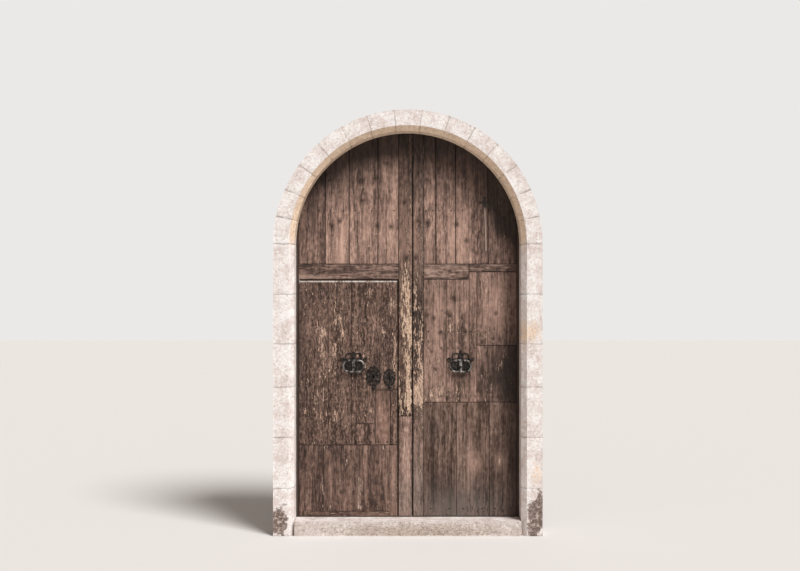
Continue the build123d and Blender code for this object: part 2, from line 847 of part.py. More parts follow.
def right_meeting_stile():
    lip_x = meeting_offset + meeting_lip_gap / 2
    lip_y = leaf_back_y - meeting_lip_depth
    stile = slab(right_meeting_x, right_stile_x, leaf_front_y, leaf_back_y, leaf_bottom_z, crown_z)
    stile += slab(lip_x, right_meeting_x, lip_y, leaf_back_y, leaf_bottom_z, crown_z)
    stile -= tenon(right_stile_x - tenon_length, right_stile_x, rail_tenon_z(), tenon_fit)
    return under_arch(stile)


def right_rail():
    # The rail is narrower beyond the patch, where the side boards run up under it.
    z = rail_tenon_z()
    rail = slab(right_stile_x, stile_inner_x, leaf_front_y, leaf_back_y, rail_bottom_z, rail_top_z)
    rail += tenon(right_stile_x - tenon_length, stile_inner_x + tenon_length, z)
    notch_x = right_stile_x + sum(right_patch_widths)
    notch_top = rail_top_z - narrow_rail_height
    return rail - slab(notch_x, stile_inner_x, leaf_front_y, board_back_y, rail_bottom_z, notch_top)


def right_hanging_stile():
    stile = slab(stile_inner_x, leaf_radius, leaf_front_y, leaf_back_y, leaf_bottom_z, crown_z)
    stile = under_arch(stile)
    return stile - tenon(stile_inner_x, stile_inner_x + tenon_length, rail_tenon_z(), tenon_fit)


def right_patch(joint_z):
    widths = right_patch_widths
    stop = right_stile_x + sum(widths)
    boards = run_of_boards(right_stile_x, widths[:-1], stop, joint_z, rail_bottom_z)
    low = floor_z + inlay_groove_height
    left = right_stile_x + widths[0] + inlay_groove_size
    right = stop - widths[2] / 2
    size = inlay_groove_size
    groove = slab(left, right, board_front_y, board_front_y + size, low, low + size)
    return [boards[0]] + [piece - groove for piece in boards[1:]]


def right_ledge_list():
    ends = (right_stile_x, stile_inner_x)
    joint_z = floor_z + right_joint_height - joint_ledge_drop
    side_z = floor_z + side_joint_height - side_ledge_drop
    ledges = [
        ledge(*ends, leaf_bottom_z, leaf_bottom_z + ledge_height),
        ledge(*ends, joint_z, joint_z + joint_ledge_height),
        ledge(*ends, side_z, side_z + side_ledge_height),
        upper_ledge(*ends),
    ]
    heights = [
        leaf_bottom_z + ledge_height / 2,
        joint_z + nail_inset,
        joint_z + joint_ledge_height - nail_inset,
        side_z + nail_inset,
        side_z + side_ledge_height - nail_inset,
        floor_z + upper_ledge_bottom + ledge_height / 2,
    ]
    return ledges, heights


def make_right_leaf():
    joint_z = floor_z + right_joint_height
    side_z = floor_z + side_joint_height
    patch_x = right_stile_x + sum(right_patch_widths)
    strip_x = patch_x + right_strip_width
    side_top = rail_top_z - narrow_rail_height
    upper = run_of_boards(right_stile_x, right_upper_widths, stile_inner_x, rail_top_z, crown_z)
    upper = [under_arch(piece) for piece in upper]
    low_z = leaf_bottom_z - board_fit / 2
    lower = run_of_boards(right_stile_x, right_lower_widths, stile_inner_x, low_z, joint_z)
    patch = right_patch(joint_z)
    strip = board(patch_x, strip_x, joint_z, side_top)
    side_low = board(strip_x, stile_inner_x, joint_z, side_z)
    side_high = board(strip_x, stile_inner_x, side_z, side_top)
    ledges, heights = right_ledge_list()
    points = nail_points(upper + lower + patch + [strip, side_low, side_high], heights)
    points = [point for point in points if clear_of_knocker(point, right_knocker_offset)]
    rib = arch_rib(right_stile_x, stile_inner_x)
    face = board_front_y
    save("right_upper_boards", *nailed(upper, points))
    save("right_lower_boards", *nailed(lower, points))
    save("right_patch_boards", *nailed(patch, points))
    save("right_side_strip", *nailed([strip], points))
    save("right_side_lower_board", *nailed([side_low], points))
    save("right_side_upper_board", *nailed([side_high], points))
    save("right_ledges", *nailed(ledges, points))
    save("right_arch_rib", *nailed([rib], points))
    save("right_leaf_nails", *[nail(x, z, face) for x, z in points])
    save("right_transom_rail", right_rail())
    save("right_meeting_stile", right_meeting_stile())
    save("right_hanging_stile", right_hanging_stile())
    straps = []
    for height in right_hinge_heights + (rail_middle,):
        straps.append(strap(1, leaf_pin_x, leaf_pin_y, floor_z + height, strap_length, strap_height))
    save("right_leaf_straps", *straps)
    save("iron_cross", iron_cross())


def iron_cross():
    length, width = cross_arm
    ring_outer, ring_inner = cross_ring
    stem_width, stem_length = cross_stem
    sketch = Rectangle(length * 2, width) + Rectangle(width, length * 2)
    for turn in range(4):
        sketch += Rot(0, 0, 90 * turn) * Pos(length, 0) * Circle(width)
    sketch += Circle(ring_outer)
    stem = Pos(0, -length - stem_length / 2) * Rectangle(stem_width, stem_length)
    sketch += Rot(0, 0, cross_stem_slant) * stem
    sketch -= Circle(ring_inner)
    top = board_front_y - cross_thickness
    return raised(sketch, cross_offset, top, floor_z + cross_height, cross_thickness)


# Bolts on the back of the right leaf


def guide(x, z, upright):
    width, depth, thick = guide_size
    tall = thick if upright else width
    wide = width if upright else thick
    half = wide / 2
    block = slab(x - half, x + half, leaf_back_y, leaf_back_y + depth, z - tall / 2, z + tall / 2)
    bore = round_bolt_radius + round_bolt_fit
    if upright:
        return block - rod_z(bore, z - tall / 2, z + tall / 2, x, bolt_line_y())
    return block - rod_x(bore, x - half, x + half, bolt_line_y(), z)


def upright_bolt(low, high):
    x = meeting_offset + bolt_line_offset
    handle_radius, handle_length = bolt_handle
    middle = (low + high) / 2
    bolt = rod_z(round_bolt_radius, low, high, x, bolt_line_y())
    return bolt + rod_y(handle_radius, bolt_line_y(), bolt_line_y() + handle_length, x, middle)


def make_bolts():
    x = meeting_offset + bolt_line_offset
    head_top = spring_z + rebate_radius
    head_low = head_top - head_bolt_length
    foot_low = floor_z + bolt_rest_gap
    foot_top = foot_low + foot_bolt_length
    cross_z = floor_z + cross_bolt_height
    cross_left = right_meeting_x + bolt_rest_gap / 2
    cross_right = cross_left + cross_bolt_length
    save("head_bolt", upright_bolt(head_low, head_top))
    save("foot_bolt", upright_bolt(foot_low, foot_top))
    handle_radius, handle_length = bolt_handle
    cross = rod_x(round_bolt_radius, cross_left, cross_right, bolt_line_y(), cross_z)
    middle = (cross_left + cross_right) / 2 + cross_bolt_throw / 2
    cross += rod_y(handle_radius, bolt_line_y(), bolt_line_y() + handle_length, middle, cross_z)
    save("cross_bolt", cross)
    guides = []
    for low, high in ((head_low, head_top), (foot_low, foot_top)):
        guides.append(guide(x, low + upright_guide_inset, True))
        guides.append(guide(x, high - upright_guide_inset, True))
    guides.append(guide(cross_left + cross_guide_inset, cross_z, False))
    guides.append(guide(cross_right - cross_guide_inset, cross_z, False))
    save("bolt_guides", *guides)


# Knockers


def knocker_ring(x, face, beaded):
    # A flattened ring on a straight top bar, with a tongue down its middle.
    bar = ring_bar_radius
    bend = ring_height / 2 - bar
    half = ring_width / 2 - bar - bend
    z = floor_z + knocker_height
    y = face - ring_standoff
    top = z + bend
    ring = rod_x(bar, x - half, x + half, y, top) + rod_x(bar, x - half, x + half, y, z - bend)
    for side in (-1, 1):
        bow = Pos(x + side * half, y, z) * Rot(90, 0, 0) * Torus(bend, bar)
        reach = sorted((x + side * half, x + side * ring_width))
        ring += bow & slab(reach[0], reach[1], y - bar * 2, y + bar * 2, z - ring_height, z + ring_height)
    tongue = Polyline(
        (-stem_width / 2, bend),
        (-stem_tip_width / 2, -bend),
        (stem_tip_width / 2, -bend),
        (stem_width / 2, bend),
        close=True,
    )
    ring += raised(make_face(tongue), x, y - stem_thickness / 2, z, stem_thickness)
    if beaded:
        ring += Pos(x, y, z) * Sphere(bulb_radius)
        ring += Pos(x, y, z - bend) * Sphere(bead_radius)
    return ring


def crown_arc(side):
    # One open arch of the crown above the ring.
    disc = Pos(side * crown_spread, crown_rise) * Circle(crown_radius)
    hollow = Pos(side * crown_spread, crown_rise) * Circle(crown_radius - crown_bar)
    return disc - hollow


def scroll(side):
    # A scroll at the side, open towards its top.
    middle = Pos(side * scroll_spread, scroll_rise)
    disc = middle * Circle(scroll_radius)
    hollow = middle * Circle(scroll_radius - scroll_bar)
    mouth = middle * Pos(-side * scroll_radius, scroll_radius) * Rectangle(scroll_radius, scroll_radius)
    return disc - hollow - mouth


def knocker_plate(x, face, finial):
    z = floor_z + knocker_height
    bar = ring_bar_radius
    bend = ring_height / 2 - bar
    y = face - ring_standoff
    sketch = Ellipse(*plate_half)
    base = Pos(0, bend + crown_base_height / 2) * Rectangle(scroll_spread * 2, crown_base_height)
    sketch += base
    for side in (-1, 1):
        sketch += crown_arc(side)
        sketch += scroll(side)
    top = finial_height if finial else finial_height - crown_bar
    spine = Pos(0, top / 2) * Rectangle(finial_width, top)
    sketch += spine
    if finial:
        for turn in (-1, 0, 1):
            angle = pi / 2 + turn * pi / 2
            leaf_x = trefoil_spread * cos(angle)
            leaf_z = crown_rise + trefoil_spread * sin(angle)
            sketch += Pos(leaf_x, leaf_z) * Circle(trefoil_radius)
    plate = raised(sketch, x, face - plate_thickness, z, plate_thickness)
    for side in (-1, 1):
        middle = x + side * (stem_width / 2 + stem_fit + lug_width / 2)
        low = middle - lug_width / 2
        high = middle + lug_width / 2
        plate += slab(low, high, y, face, z + bend - lug_radius, z + bend + lug_radius)
        plate += rod_x(lug_radius, low, high, y, z + bend)
    plate -= rod_x(bar + ring_fit, x - ring_width, x + ring_width, y, z + bend)
    seat_top = y + strike_gap + (bead_radius if finial else bar)
    return plate + rod_y(strike_radius, seat_top, face, x, z - bend)


def make_knockers():
    left_face = wicket_front_y
    right_face = board_front_y
    save("left_knocker_ring", knocker_ring(left_knocker_offset, left_face, False))
    save("left_knocker_plate", knocker_plate(left_knocker_offset, left_face, False))
    save("right_knocker_ring", knocker_ring(right_knocker_offset, right_face, True))
    save("right_knocker_plate", knocker_plate(right_knocker_offset, right_face, True))


make_frame()
make_left_leaf()
make_wicket()
make_right_leaf()
make_bolts()
make_knockers()
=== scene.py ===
import math
from functools import partial
import bpy
import numpy as np
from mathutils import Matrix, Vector


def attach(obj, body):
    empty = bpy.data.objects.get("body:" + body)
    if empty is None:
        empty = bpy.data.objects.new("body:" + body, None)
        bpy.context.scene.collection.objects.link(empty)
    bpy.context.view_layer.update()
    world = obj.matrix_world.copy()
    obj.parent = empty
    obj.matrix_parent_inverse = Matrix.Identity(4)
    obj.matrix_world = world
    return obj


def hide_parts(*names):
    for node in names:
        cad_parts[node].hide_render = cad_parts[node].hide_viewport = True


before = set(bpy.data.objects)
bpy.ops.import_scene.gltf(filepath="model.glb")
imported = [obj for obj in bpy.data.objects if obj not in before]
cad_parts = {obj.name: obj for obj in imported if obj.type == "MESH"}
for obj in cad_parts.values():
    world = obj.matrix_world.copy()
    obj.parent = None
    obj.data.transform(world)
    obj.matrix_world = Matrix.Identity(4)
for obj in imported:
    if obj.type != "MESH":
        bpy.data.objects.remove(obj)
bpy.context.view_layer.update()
print("frame loaded:", len(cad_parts), "nodes")

# Sizes below are in mm, in the row frame, where the street side is -Y. Blender works in metres
mm = 0.001
archSpring = 2232
leafRadius = 916
jointGap = 1.5              # half the gap between two boards
sharpAngle = 32             # degrees between two faces from which their edge stays crisp
patternShift = 0.731        # each seed takes another stretch of the grain
plane = {
    # depths of the timbers: the street face and the back of each kind
    "leafBoards": (60, 85), "wicketBoards": (58, 85), "stileFront": (57, 96.5), "wholeStile": (57, 117),
    "stileBack": (96.5, 117), "lip": (107, 117), "shortRail": (57, 85), "railBlock": (85, 117),
}


def linear(hexColour):
    # sRGB hex to the linear colour that the shaders work in
    parts = [int(hexColour[i:i + 2], 16) / 255 for i in (0, 2, 4)]
    return [p / 12.92 if p <= 0.04045 else ((p + 0.055) / 1.055) ** 2.4 for p in parts] + [1.0]


def addNode(tree, kind, settings=None, links=None, out=0):
    # One node with its settings, its socket values and its links. Gives back one of its outputs
    kind, *operation = kind.split()
    node = tree.nodes.new("ShaderNode" + kind)
    if operation:
        node.operation = operation[0]
    for key, value in (settings or {}).items():
        if key == "range":          # from low and high, then to low and high
            for socket, number in enumerate(value, 1):
                node.inputs[socket].default_value = number
        elif key == "stops":
            ramp = node.color_ramp.elements
            while len(ramp) < len(value):
                ramp.new(0.5)
            for stop, (where, shade) in zip(ramp, value):
                stop.position, stop.color = where, linear(shade)
        elif isinstance(key, str) and hasattr(node, key):
            setattr(node, key, value)
        else:
            node.inputs[key].default_value = value
    for key, source in (links or {}).items():
        tree.links.new(source, node.inputs[key])
    return node.outputs[out] if node.outputs else None


def emptyTree(holder):
    # The cleared node tree of a material or a world
    holder.use_nodes = True
    holder.node_tree.nodes.clear()
    return holder.node_tree


def addObject(name, data):
    thing = bpy.data.objects.new(name, data)
    bpy.context.scene.collection.objects.link(thing)
    return thing


def lattice(u, v, seed):
    # Smooth random values between -1 and 1, one cell for each unit of u and v
    table = np.random.default_rng(seed).uniform(-1, 1, 4096)
    cellU, cellV = np.floor(u).astype(np.int64), np.floor(v).astype(np.int64)
    partU, partV = u - cellU, v - cellV
    easeU, easeV = partU * partU * (3 - 2 * partU), partV * partV * (3 - 2 * partV)

    def corner(a, b):
        return table[(a * 7919 + b * 104729 + (a * b % 97) * 31) % 4096]

    low = corner(cellU, cellV) * (1 - easeU) + corner(cellU + 1, cellV) * easeU
    high = corner(cellU, cellV + 1) * (1 - easeU) + corner(cellU + 1, cellV + 1) * easeU
    return low * (1 - easeV) + high * easeV


def layered(u, v, seed):
    # Three lattices, each finer and fainter than the one before
    total = 0
    for layer in range(3):
        total = total + lattice(u * 2 ** layer, v * 2 ** layer, seed + layer) * 0.5 ** layer
    return total / 1.75


def patch(x, z, centreX, centreZ, reachX, reachZ):
    # A soft spot that fades out from its centre
    return np.exp(-((x - centreX) / reachX) ** 2 - ((z - centreZ) / reachZ) ** 2)


def fade(distance, reach, power=2):
    # Falls from 1 towards 0 over the reach
    return np.exp(-(distance / reach) ** power)


def band(value, low, high, soft):
    # 1 between low and high, fading over soft on both sides
    rise = np.clip((value - low) / soft + 0.5, 0, 1)
    fall = np.clip((high - value) / soft + 0.5, 0, 1)
    return rise * fall


def addSurface(add, settings, colour, relief, bump, **links):
    # The shader with its bump, by strength and depth in metres, and the output
    normal = add("Bump", {"Strength": bump[0], "Distance": bump[1]}, {"Height": relief})
    add("OutputMaterial", {}, {0: add("BsdfPrincipled", settings, {"Base Color": colour, "Normal": normal, **links})})


# Timber finishes
timberFields = ("grainAcross", "boardTone", "edgeDirt", "flaking", "staining", "bleaching", "greying", "knotting")


def weatheredPine(name, look):
    # Old brown-stained pine: the grain shows as soft streaks, drying cracks run along it,
    # and what is left of an old pale paint and dead fibre lifts in flakes
    material = bpy.data.materials.new(name)
    add = partial(addNode, emptyTree(material))
    value = {}
    for field in timberFields:
        value[field] = add("Attribute", {"attribute_name": field}, out="Fac")
    spot = add("TexCoord", out="Object")
    depth = add("SeparateXYZ", {}, {0: spot}, 1)
    length = add("SeparateXYZ", {}, {0: spot}, 0 if look["lying"] else 2)
    grain = add("CombineXYZ", {}, {0: value["grainAcross"], 1: depth, 2: length})

    # Streaks of three widths and soft mottling. Real growth rings are 2 to 4 mm, and the finest
    # here is 5.5 mm so that it shows
    tone, streaks = value["boardTone"], []
    for across, along, detail, amount in (*look["streaks"], look["mottle"]):
        size = (1000 / across, 1000 / look["through"], 1000 / along)
        scaled = add("VectorMath MULTIPLY", {1: size}, {0: grain})
        streaks.append(add("TexNoise", {"Scale": 1.0, "Detail": detail, "Roughness": 0.64}, {"Vector": scaled}))
        centred = add("Math SUBTRACT", {1: 0.5}, {0: streaks[-1]})
        tone = add("Math MULTIPLY_ADD", {1: amount * look["contrast"]}, {0: centred, 2: tone})
    tone = add("Math ADD", {1: 0.5}, {0: tone})
    stops = [(0.24, look["deep"]), (0.46, look["body"]), (0.64, look["lit"]), (0.88, look["pale"])]
    colour = add("ValToRGB", {"stops": stops}, {0: tone})
    # The dark stain colour lays real stains and painted shade alike
    for field, shade in (("bleaching", "bleached"), ("greying", "greyed"), ("staining", "stain")):
        colour = add("Mix", {"data_type": "RGBA", 7: linear(look[shade])}, {0: value[field], 6: colour}, 2)

    # The other patterns, by their sizes in mm: along the grain, or the same all ways
    for key, source, size, detail, roughness, distortion in (
            ("ragged", grain, (look["flakeWide"], 50, look["flakeLong"]), 7, 0.7, 0.5),
            ("cluster", grain, (34, look["through"], 150), 3, 0.5, 0),
            ("crossing", grain, (20, 125, 240), 3, 0.5, 0),
            ("flakeTone", spot, (14.29, 14.29, 14.29), 4, 0.5, 0),
            ("crackedPart", spot, (286, 286, 286), 2, 0.5, 0),
            ("speck", spot, (5.26, 5.26, 5.26), 2, 0.5, 0)):
        scaled = add("VectorMath MULTIPLY", {1: [1000 / s for s in size]}, {0: source})
        settings = {"Scale": 1.0, "Detail": detail, "Roughness": roughness, "Distortion": distortion}
        value[key] = add("TexNoise", settings, {"Vector": scaled})

    # Flakes lie in loose clusters where the flaking field lets them through, each with a dark rim
    ragged = add("Math MULTIPLY_ADD", {1: 0.55}, {0: value["cluster"], 2: value["ragged"]})
    lifted = add("Math MULTIPLY_ADD", {1: 0.26}, {0: value["flaking"], 2: ragged})
    flakeMask = add("MapRange", {"range": (0.975, 1.005)}, {0: lifted})
    rim = add("MapRange", {"range": (0.86, 0.96, 0, look["rimDepth"])}, {0: lifted})
    flakeStops = [(0.38, look["flakeDark"]), (0.6, look["flakePale"])]
    flakeColour = add("ValToRGB", {"stops": flakeStops}, {0: value["flakeTone"]})
    colour = add("Mix", {"data_type": "RGBA", 7: linear(look["deep"])}, {0: rim, 6: colour}, 2)
    colour = add("Mix", {"data_type": "RGBA"}, {0: flakeMask, 6: colour, 7: flakeColour}, 2)

    # Drying cracks are thin lines wherever their noise crosses its middle
    away = add("Math SUBTRACT", {1: 0.5}, {0: value["crossing"]})
    away = add("Math ABSOLUTE", {}, {0: away})
    crack = add("MapRange", {"range": (0.006, 0.02, 1.0, 0.0)}, {0: away})
    cracked = add("MapRange", {"range": (0.42, 0.62)}, {0: value["crackedPart"]})
    crack = add("Math MULTIPLY", {}, {0: crack, 1: cracked})
    crackTint = add("Math MULTIPLY", {1: look["crackDepth"]}, {0: crack})
    speck = add("MapRange", {"range": (0.64, 0.72, 0, 0.55)}, {0: value["speck"]})

    # Painted shade inside the joints and gaps: the board sides between the face and the back take the joint colour
    enter = add("MapRange", {"range": (0.062, 0.068, 0, 0.8)}, {0: depth})
    leave = add("MapRange", {"range": (0.0849, 0.0845)}, {0: depth})
    paintedGapShade = add("Math MULTIPLY", {}, {0: enter, 1: leave})
    for mask, shade in ((crackTint, "crack"), (speck, "deep"), (value["knotting"], "knot"),
                        (value["edgeDirt"], "joint"), (paintedGapShade, "joint")):
        colour = add("Mix", {"data_type": "RGBA", 7: linear(look[shade])}, {0: mask, 6: colour}, 2)

    relief = add("Math MULTIPLY", {1: 0.5}, {0: streaks[0]})
    for mask, rise in ((flakeMask, 0.5), (crack, -0.9)):
        relief = add("Math MULTIPLY_ADD", {1: rise}, {0: mask, 2: relief})
    dull = add("MapRange", {"range": (0, 1, 0.62, 0.92)}, {0: streaks[0]})
    addSurface(add, {"IOR": 1.45, "Specular IOR Level": 0.3}, colour, relief, (0.75, 0.0022), Roughness=dull)
    return material


pineLook = {
    # the wood from its deepest grain to its palest, then what lies on it
    "deep": "463730", "body": "7a6257", "lit": "98796c", "pale": "b59486", "bleached": "c9a594", "greyed": "7c7069",
    # the dark stain colour also paints the shade under the arch, along the right edge and under the knockers
    "stain": "221b19", "knot": "33261f", "joint": "1f1816", "crack": "1e1714",
    "flakePale": "d6b7a2", "flakeDark": "a08470",
    # mm across and along the grain, detail and strength
    "streaks": ((5.5, 90, 6, 1.15), (22, 380, 5, 0.85), (95, 900, 2, 0.8)), "mottle": (24, 42, 5, 0.95),
    # mm through the board, and the size of a flake
    "through": 83.3, "flakeWide": 8, "flakeLong": 45,
    "rimDepth": 0.55, "crackDepth": 0.85, "contrast": 1.05, "lying": False,
}


def pineLike(name, deep, body, lit, pale, **changes):
    return weatheredPine(name, {**pineLook, "deep": deep, "body": body, "lit": lit, "pale": pale, **changes})


finishes = {
    "upperBoards": pineLike("weatheredPineUpperBoards", "4e3d36", "82685d", "a38577", "c6a392"),
    "rails": pineLike("weatheredPineRails", "3f312b", "6b554c", "886e63", "a88f81", contrast=1.4, lying=True),
    "wicketBoards": pineLike("flakingPineWicket", "35271f", "614c43", "7b6257", "997d6f", bleached="ecdfd6",
                             flakePale="d3b29f", rimDepth=0.75, contrast=1.15, mottle=(12, 28, 5, 1.7)),
    "wicketLow": pineLike("redPineWicketFoot", "392b25", "5f4a41", "795f54", "957a6d", contrast=1.2,
                          flakePale="d2b9a8", flakeDark="a98f80"),
    "footStrip": pineLike("redPineFootStrip", "392b25", "5f4a41", "795f54", "957a6d", lying=True),
    "repair": pineLike("planedPineRepair", "49372f", "775d51", "8f7265", "b08f7d", contrast=1.15),
    "oldStile": pineLike("flakedPineStile", "2a1e19", "5c473d", "7d6457", "a88c7d", bleached="a78879", contrast=1.2,
                         flakeWide=10, flakeLong=60, flakePale="dcc0a7", flakeDark="ab8c77", rimDepth=0.8),
    "splicedFoot": pineLike("planedPineFoot", "58453d", "866c60", "a08376", "bda091", crackDepth=0.5, contrast=1.45),
    "rightStile": pineLike("flakedPineRightStile", "2e231e", "6d574d", "8b7266", "ab8e80", bleached="a78879",
                           flakeWide=9, rimDepth=0.8, contrast=1.2),
    "rightBoards": pineLike("weatheredPineRightBoards", "48382f", "7a6157", "967a6d", "b39384"),
    "rightLow": pineLike("greyedPineRightFoot", "38291f", "5f4a40", "786257", "937b6f", greyed="6f6560",
                         contrast=1.15),
}
print("timber finishes made")


# Stone finishes
def limewashedStone(name, look):
    # Dressed limestone under many coats of limewash: chalky white dabs over a pinkish coat,
    # warm bare stone where the coats are worn off, dark damp patches near the ground
    material = bpy.data.materials.new(name)
    add = partial(addNode, emptyTree(material))
    value = {}
    for field in ("bareness", "dampness", "seamDirt"):
        value[field] = add("Attribute", {"attribute_name": field}, out="Fac")
    spot = add("TexCoord", out="Object")
    for key, (size, detail, roughness, distortion) in look["patterns"].items():
        settings = {"Scale": 1000 / size, "Detail": detail, "Roughness": roughness, "Distortion": distortion}
        value[key] = add("TexNoise", settings, {"Vector": spot})
    mixed = add("Math MULTIPLY_ADD", {1: 0.6}, {0: value["mottle"], 2: value["cloud"]})
    coats = [(0.62, look["thin"]), (0.78, look["coat"]), (0.92, look["chalk"])]
    colour = add("ValToRGB", {"stops": coats}, {0: mixed})

    # Brush dabs, their edges warped by up to 30 mm
    warp = add("TexNoise", {"Scale": 1000 / 33.3}, {"Vector": spot}, 1)
    warped = add("VectorMath MULTIPLY_ADD", {1: (0.03, 0.03, 0.03)}, {0: warp, 2: spot})
    dab = add("TexVoronoi", {"Scale": 1000 / look["dab"]}, {"Vector": warped})
    dab = add("MapRange", {"range": (0.38, 0.2, 0, 0.75)}, {0: dab})
    colour = add("Mix", {"data_type": "RGBA", 7: linear(look["chalk"])}, {0: dab, 6: colour}, 2)

    # Bare stone shows in its field, broken up by the mottle, and damp soil near the ground
    shown = add("Math MULTIPLY_ADD", {1: 0.5}, {0: value["bareness"], 2: value["mottle"]})
    shown = add("MapRange", {"range": (0.66, 0.78)}, {0: shown})
    stone = add("ValToRGB", {"stops": [(0.35, look["bareDark"]), (0.62, look["bare"])]}, {0: value["mottle"]})
    wet = add("Math MULTIPLY_ADD", {1: 0.45}, {0: value["dampness"], 2: mixed})
    wet = add("MapRange", {"range": (1.06, 1.12, 0, 0.94)}, {0: wet})
    soil = add("Math MULTIPLY_ADD", {1: 0.5}, {0: value["grit"], 2: value["mottle"]})
    soils = [(0.62, look["dampDark"]), (0.78, look["damp"]), (0.88, look["thin"])]
    soil = add("ValToRGB", {"stops": soils}, {0: soil})
    for mask, under in ((shown, stone), (wet, soil)):
        colour = add("Mix", {"data_type": "RGBA"}, {0: mask, 6: colour, 7: under}, 2)

    # Brown veins along the bed of the stone, thin lines where their noise crosses its middle
    bed = add("VectorMath MULTIPLY", {1: [1000 / s for s in look["bed"]]}, {0: spot})
    vein = add("TexNoise", {"Scale": 1.0, "Detail": 6, "Roughness": 0.65, "Distortion": 0.8}, {"Vector": bed})
    vein = add("Math SUBTRACT", {1: 0.5}, {0: vein})
    vein = add("Math ABSOLUTE", {}, {0: vein})
    vein = add("MapRange", {"range": (0.008, 0.035, look["veins"], 0.0)}, {0: vein})
    vein = add("Math MULTIPLY", {}, {0: vein, 1: shown})

    # Grey-pink flecks where the last coat has rubbed thin, then veins, pits and dirt in the joints
    fleck = add("MapRange", {"range": (0.53, 0.63, 0, 0.6)}, {0: value["fleck"]})
    pit = add("MapRange", {"range": (0.63, 0.7)}, {0: value["pit"]})
    pitTint = add("Math MULTIPLY", {1: look["pitDepth"]}, {0: pit})
    for mask, shade in ((fleck, "fleck"), (vein, "vein"), (pitTint, "pit"), (value["seamDirt"], "seam")):
        colour = add("Mix", {"data_type": "RGBA", 7: linear(look[shade])}, {0: mask, 6: colour}, 2)
    relief = value["mottle"]
    for mask, rise in ((pit, -0.8), (value["grit"], 0.25), (dab, 0.25)):
        relief = add("Math MULTIPLY_ADD", {1: rise}, {0: mask, 2: relief})
    addSurface(add, {"Roughness": 0.9, "IOR": 1.5, "Specular IOR Level": 0.25}, colour, relief, (0.6, 0.004))
    return material


stoneLook = {
    "thin": "d2c3bc", "coat": "e5dcd8", "chalk": "f4f0ee", "fleck": "b8a79d", "bare": "f6dfc8", "bareDark": "dcbd9f",
    "damp": "6b5448", "dampDark": "42332b", "pit": "9b8877", "seam": "6b5d52", "vein": "85715f",
    "veins": 0.2, "pitDepth": 0.5,
    # mm, then detail, roughness and distortion
    "patterns": {"cloud": (111, 6, 0.6, 0), "mottle": (23.8, 6, 0.7, 0), "grit": (3.85, 3, 0.6, 0),
                 "fleck": (11.76, 4, 0.7, 0.6), "pit": (8.33, 2, 0.5, 0)},
    "dab": 38.5, "bed": (62.5, 62.5, 18.2),
}
stepStone = {**stoneLook, "thin": "bdafa8", "coat": "d3c8c3", "chalk": "e6dfdb", "bare": "d2c5bc",
             "bareDark": "a69587", "vein": "6f5a4b", "veins": 0.85}
finishes["limewash"] = limewashedStone("limewashedLimestone", stoneLook)
finishes["step"] = limewashedStone("wornLimestoneStep", stepStone)
print("stone finishes made")


# Iron and hidden timber finishes
def forgedIron(name, look):
    # Wrought iron, hammered and blackened: dull black with faint brown rust, greyer where hands wear it
    material = bpy.data.materials.new(name)
    add = partial(addNode, emptyTree(material))
    spot = add("TexCoord", out="Object")
    hammer = add("TexVoronoi", {"Scale": 1000 / look["hammer"], "feature": "SMOOTH_F1"}, {"Vector": spot})
    crust = add("TexNoise", {"Scale": 1000 / look["crust"], "Detail": 5, "Roughness": 0.65}, {"Vector": spot})
    worn = add("TexNoise", {"Scale": 1000 / look["wearMarks"], "Detail": 3}, {"Vector": spot})
    colour = add("ValToRGB", {"stops": [(0.35, look["black"]), (0.6, look["brown"])]}, {0: crust})
    rubbed = add("MapRange", {"range": (0.6 - look["wear"] * 0.3, 0.75, 0, look["wear"])}, {0: worn})
    layers = [("worn", rubbed)]
    if "dustBelow" in look:
        height = add("SeparateXYZ", {}, {0: spot}, 2)
        start = look["dustBelow"] * mm
        layers.append(("dust", add("MapRange", {"range": (start, start - 0.03, 0, 0.85)}, {0: height})))
    for shade, mask in layers:
        colour = add("Mix", {"data_type": "RGBA", 7: linear(look[shade])}, {0: mask, 6: colour}, 2)
    relief = add("Math MULTIPLY_ADD", {1: 0.35}, {0: crust, 2: hammer})
    gloss = add("MapRange", {"range": (0, 1, look["rough"] - 0.14, look["rough"] + 0.16)}, {0: crust})
    addSurface(add, {"Metallic": look["metal"]}, colour, relief, (0.5, 0.0015), Roughness=gloss)
    return material


ironLook = {
    "black": "191817", "brown": "2c241e", "worn": "67625f", "wear": 0.2, "rough": 0.55, "metal": 0.7,
    "hammer": 11.1, "crust": 7.14, "wearMarks": 22.2,
}
finishes["iron"] = forgedIron("blackenedWroughtIron", ironLook)
# On the knocker rings the pale worn colour is real wear and also a painted highlight
finishes["wornIronWithSheen"] = forgedIron("handWornIronWithPaintedSheen", {
    **ironLook, "black": "2b2a29", "worn": "b8aea9", "wear": 0.75, "rough": 0.42, "metal": 0.85})
finishes["ornamentIron"] = forgedIron("rubbedOrnamentIron", {
    **ironLook, "black": "121110", "brown": "241e1a", "worn": "a89c94", "wear": 0.3, "wearMarks": 10, "rough": 0.42})
finishes["crossIron"] = forgedIron("dustyCrossIron", {
    **ironLook, "metal": 0.3, "rough": 0.7, "dustBelow": 2530, "dust": "a89589"})


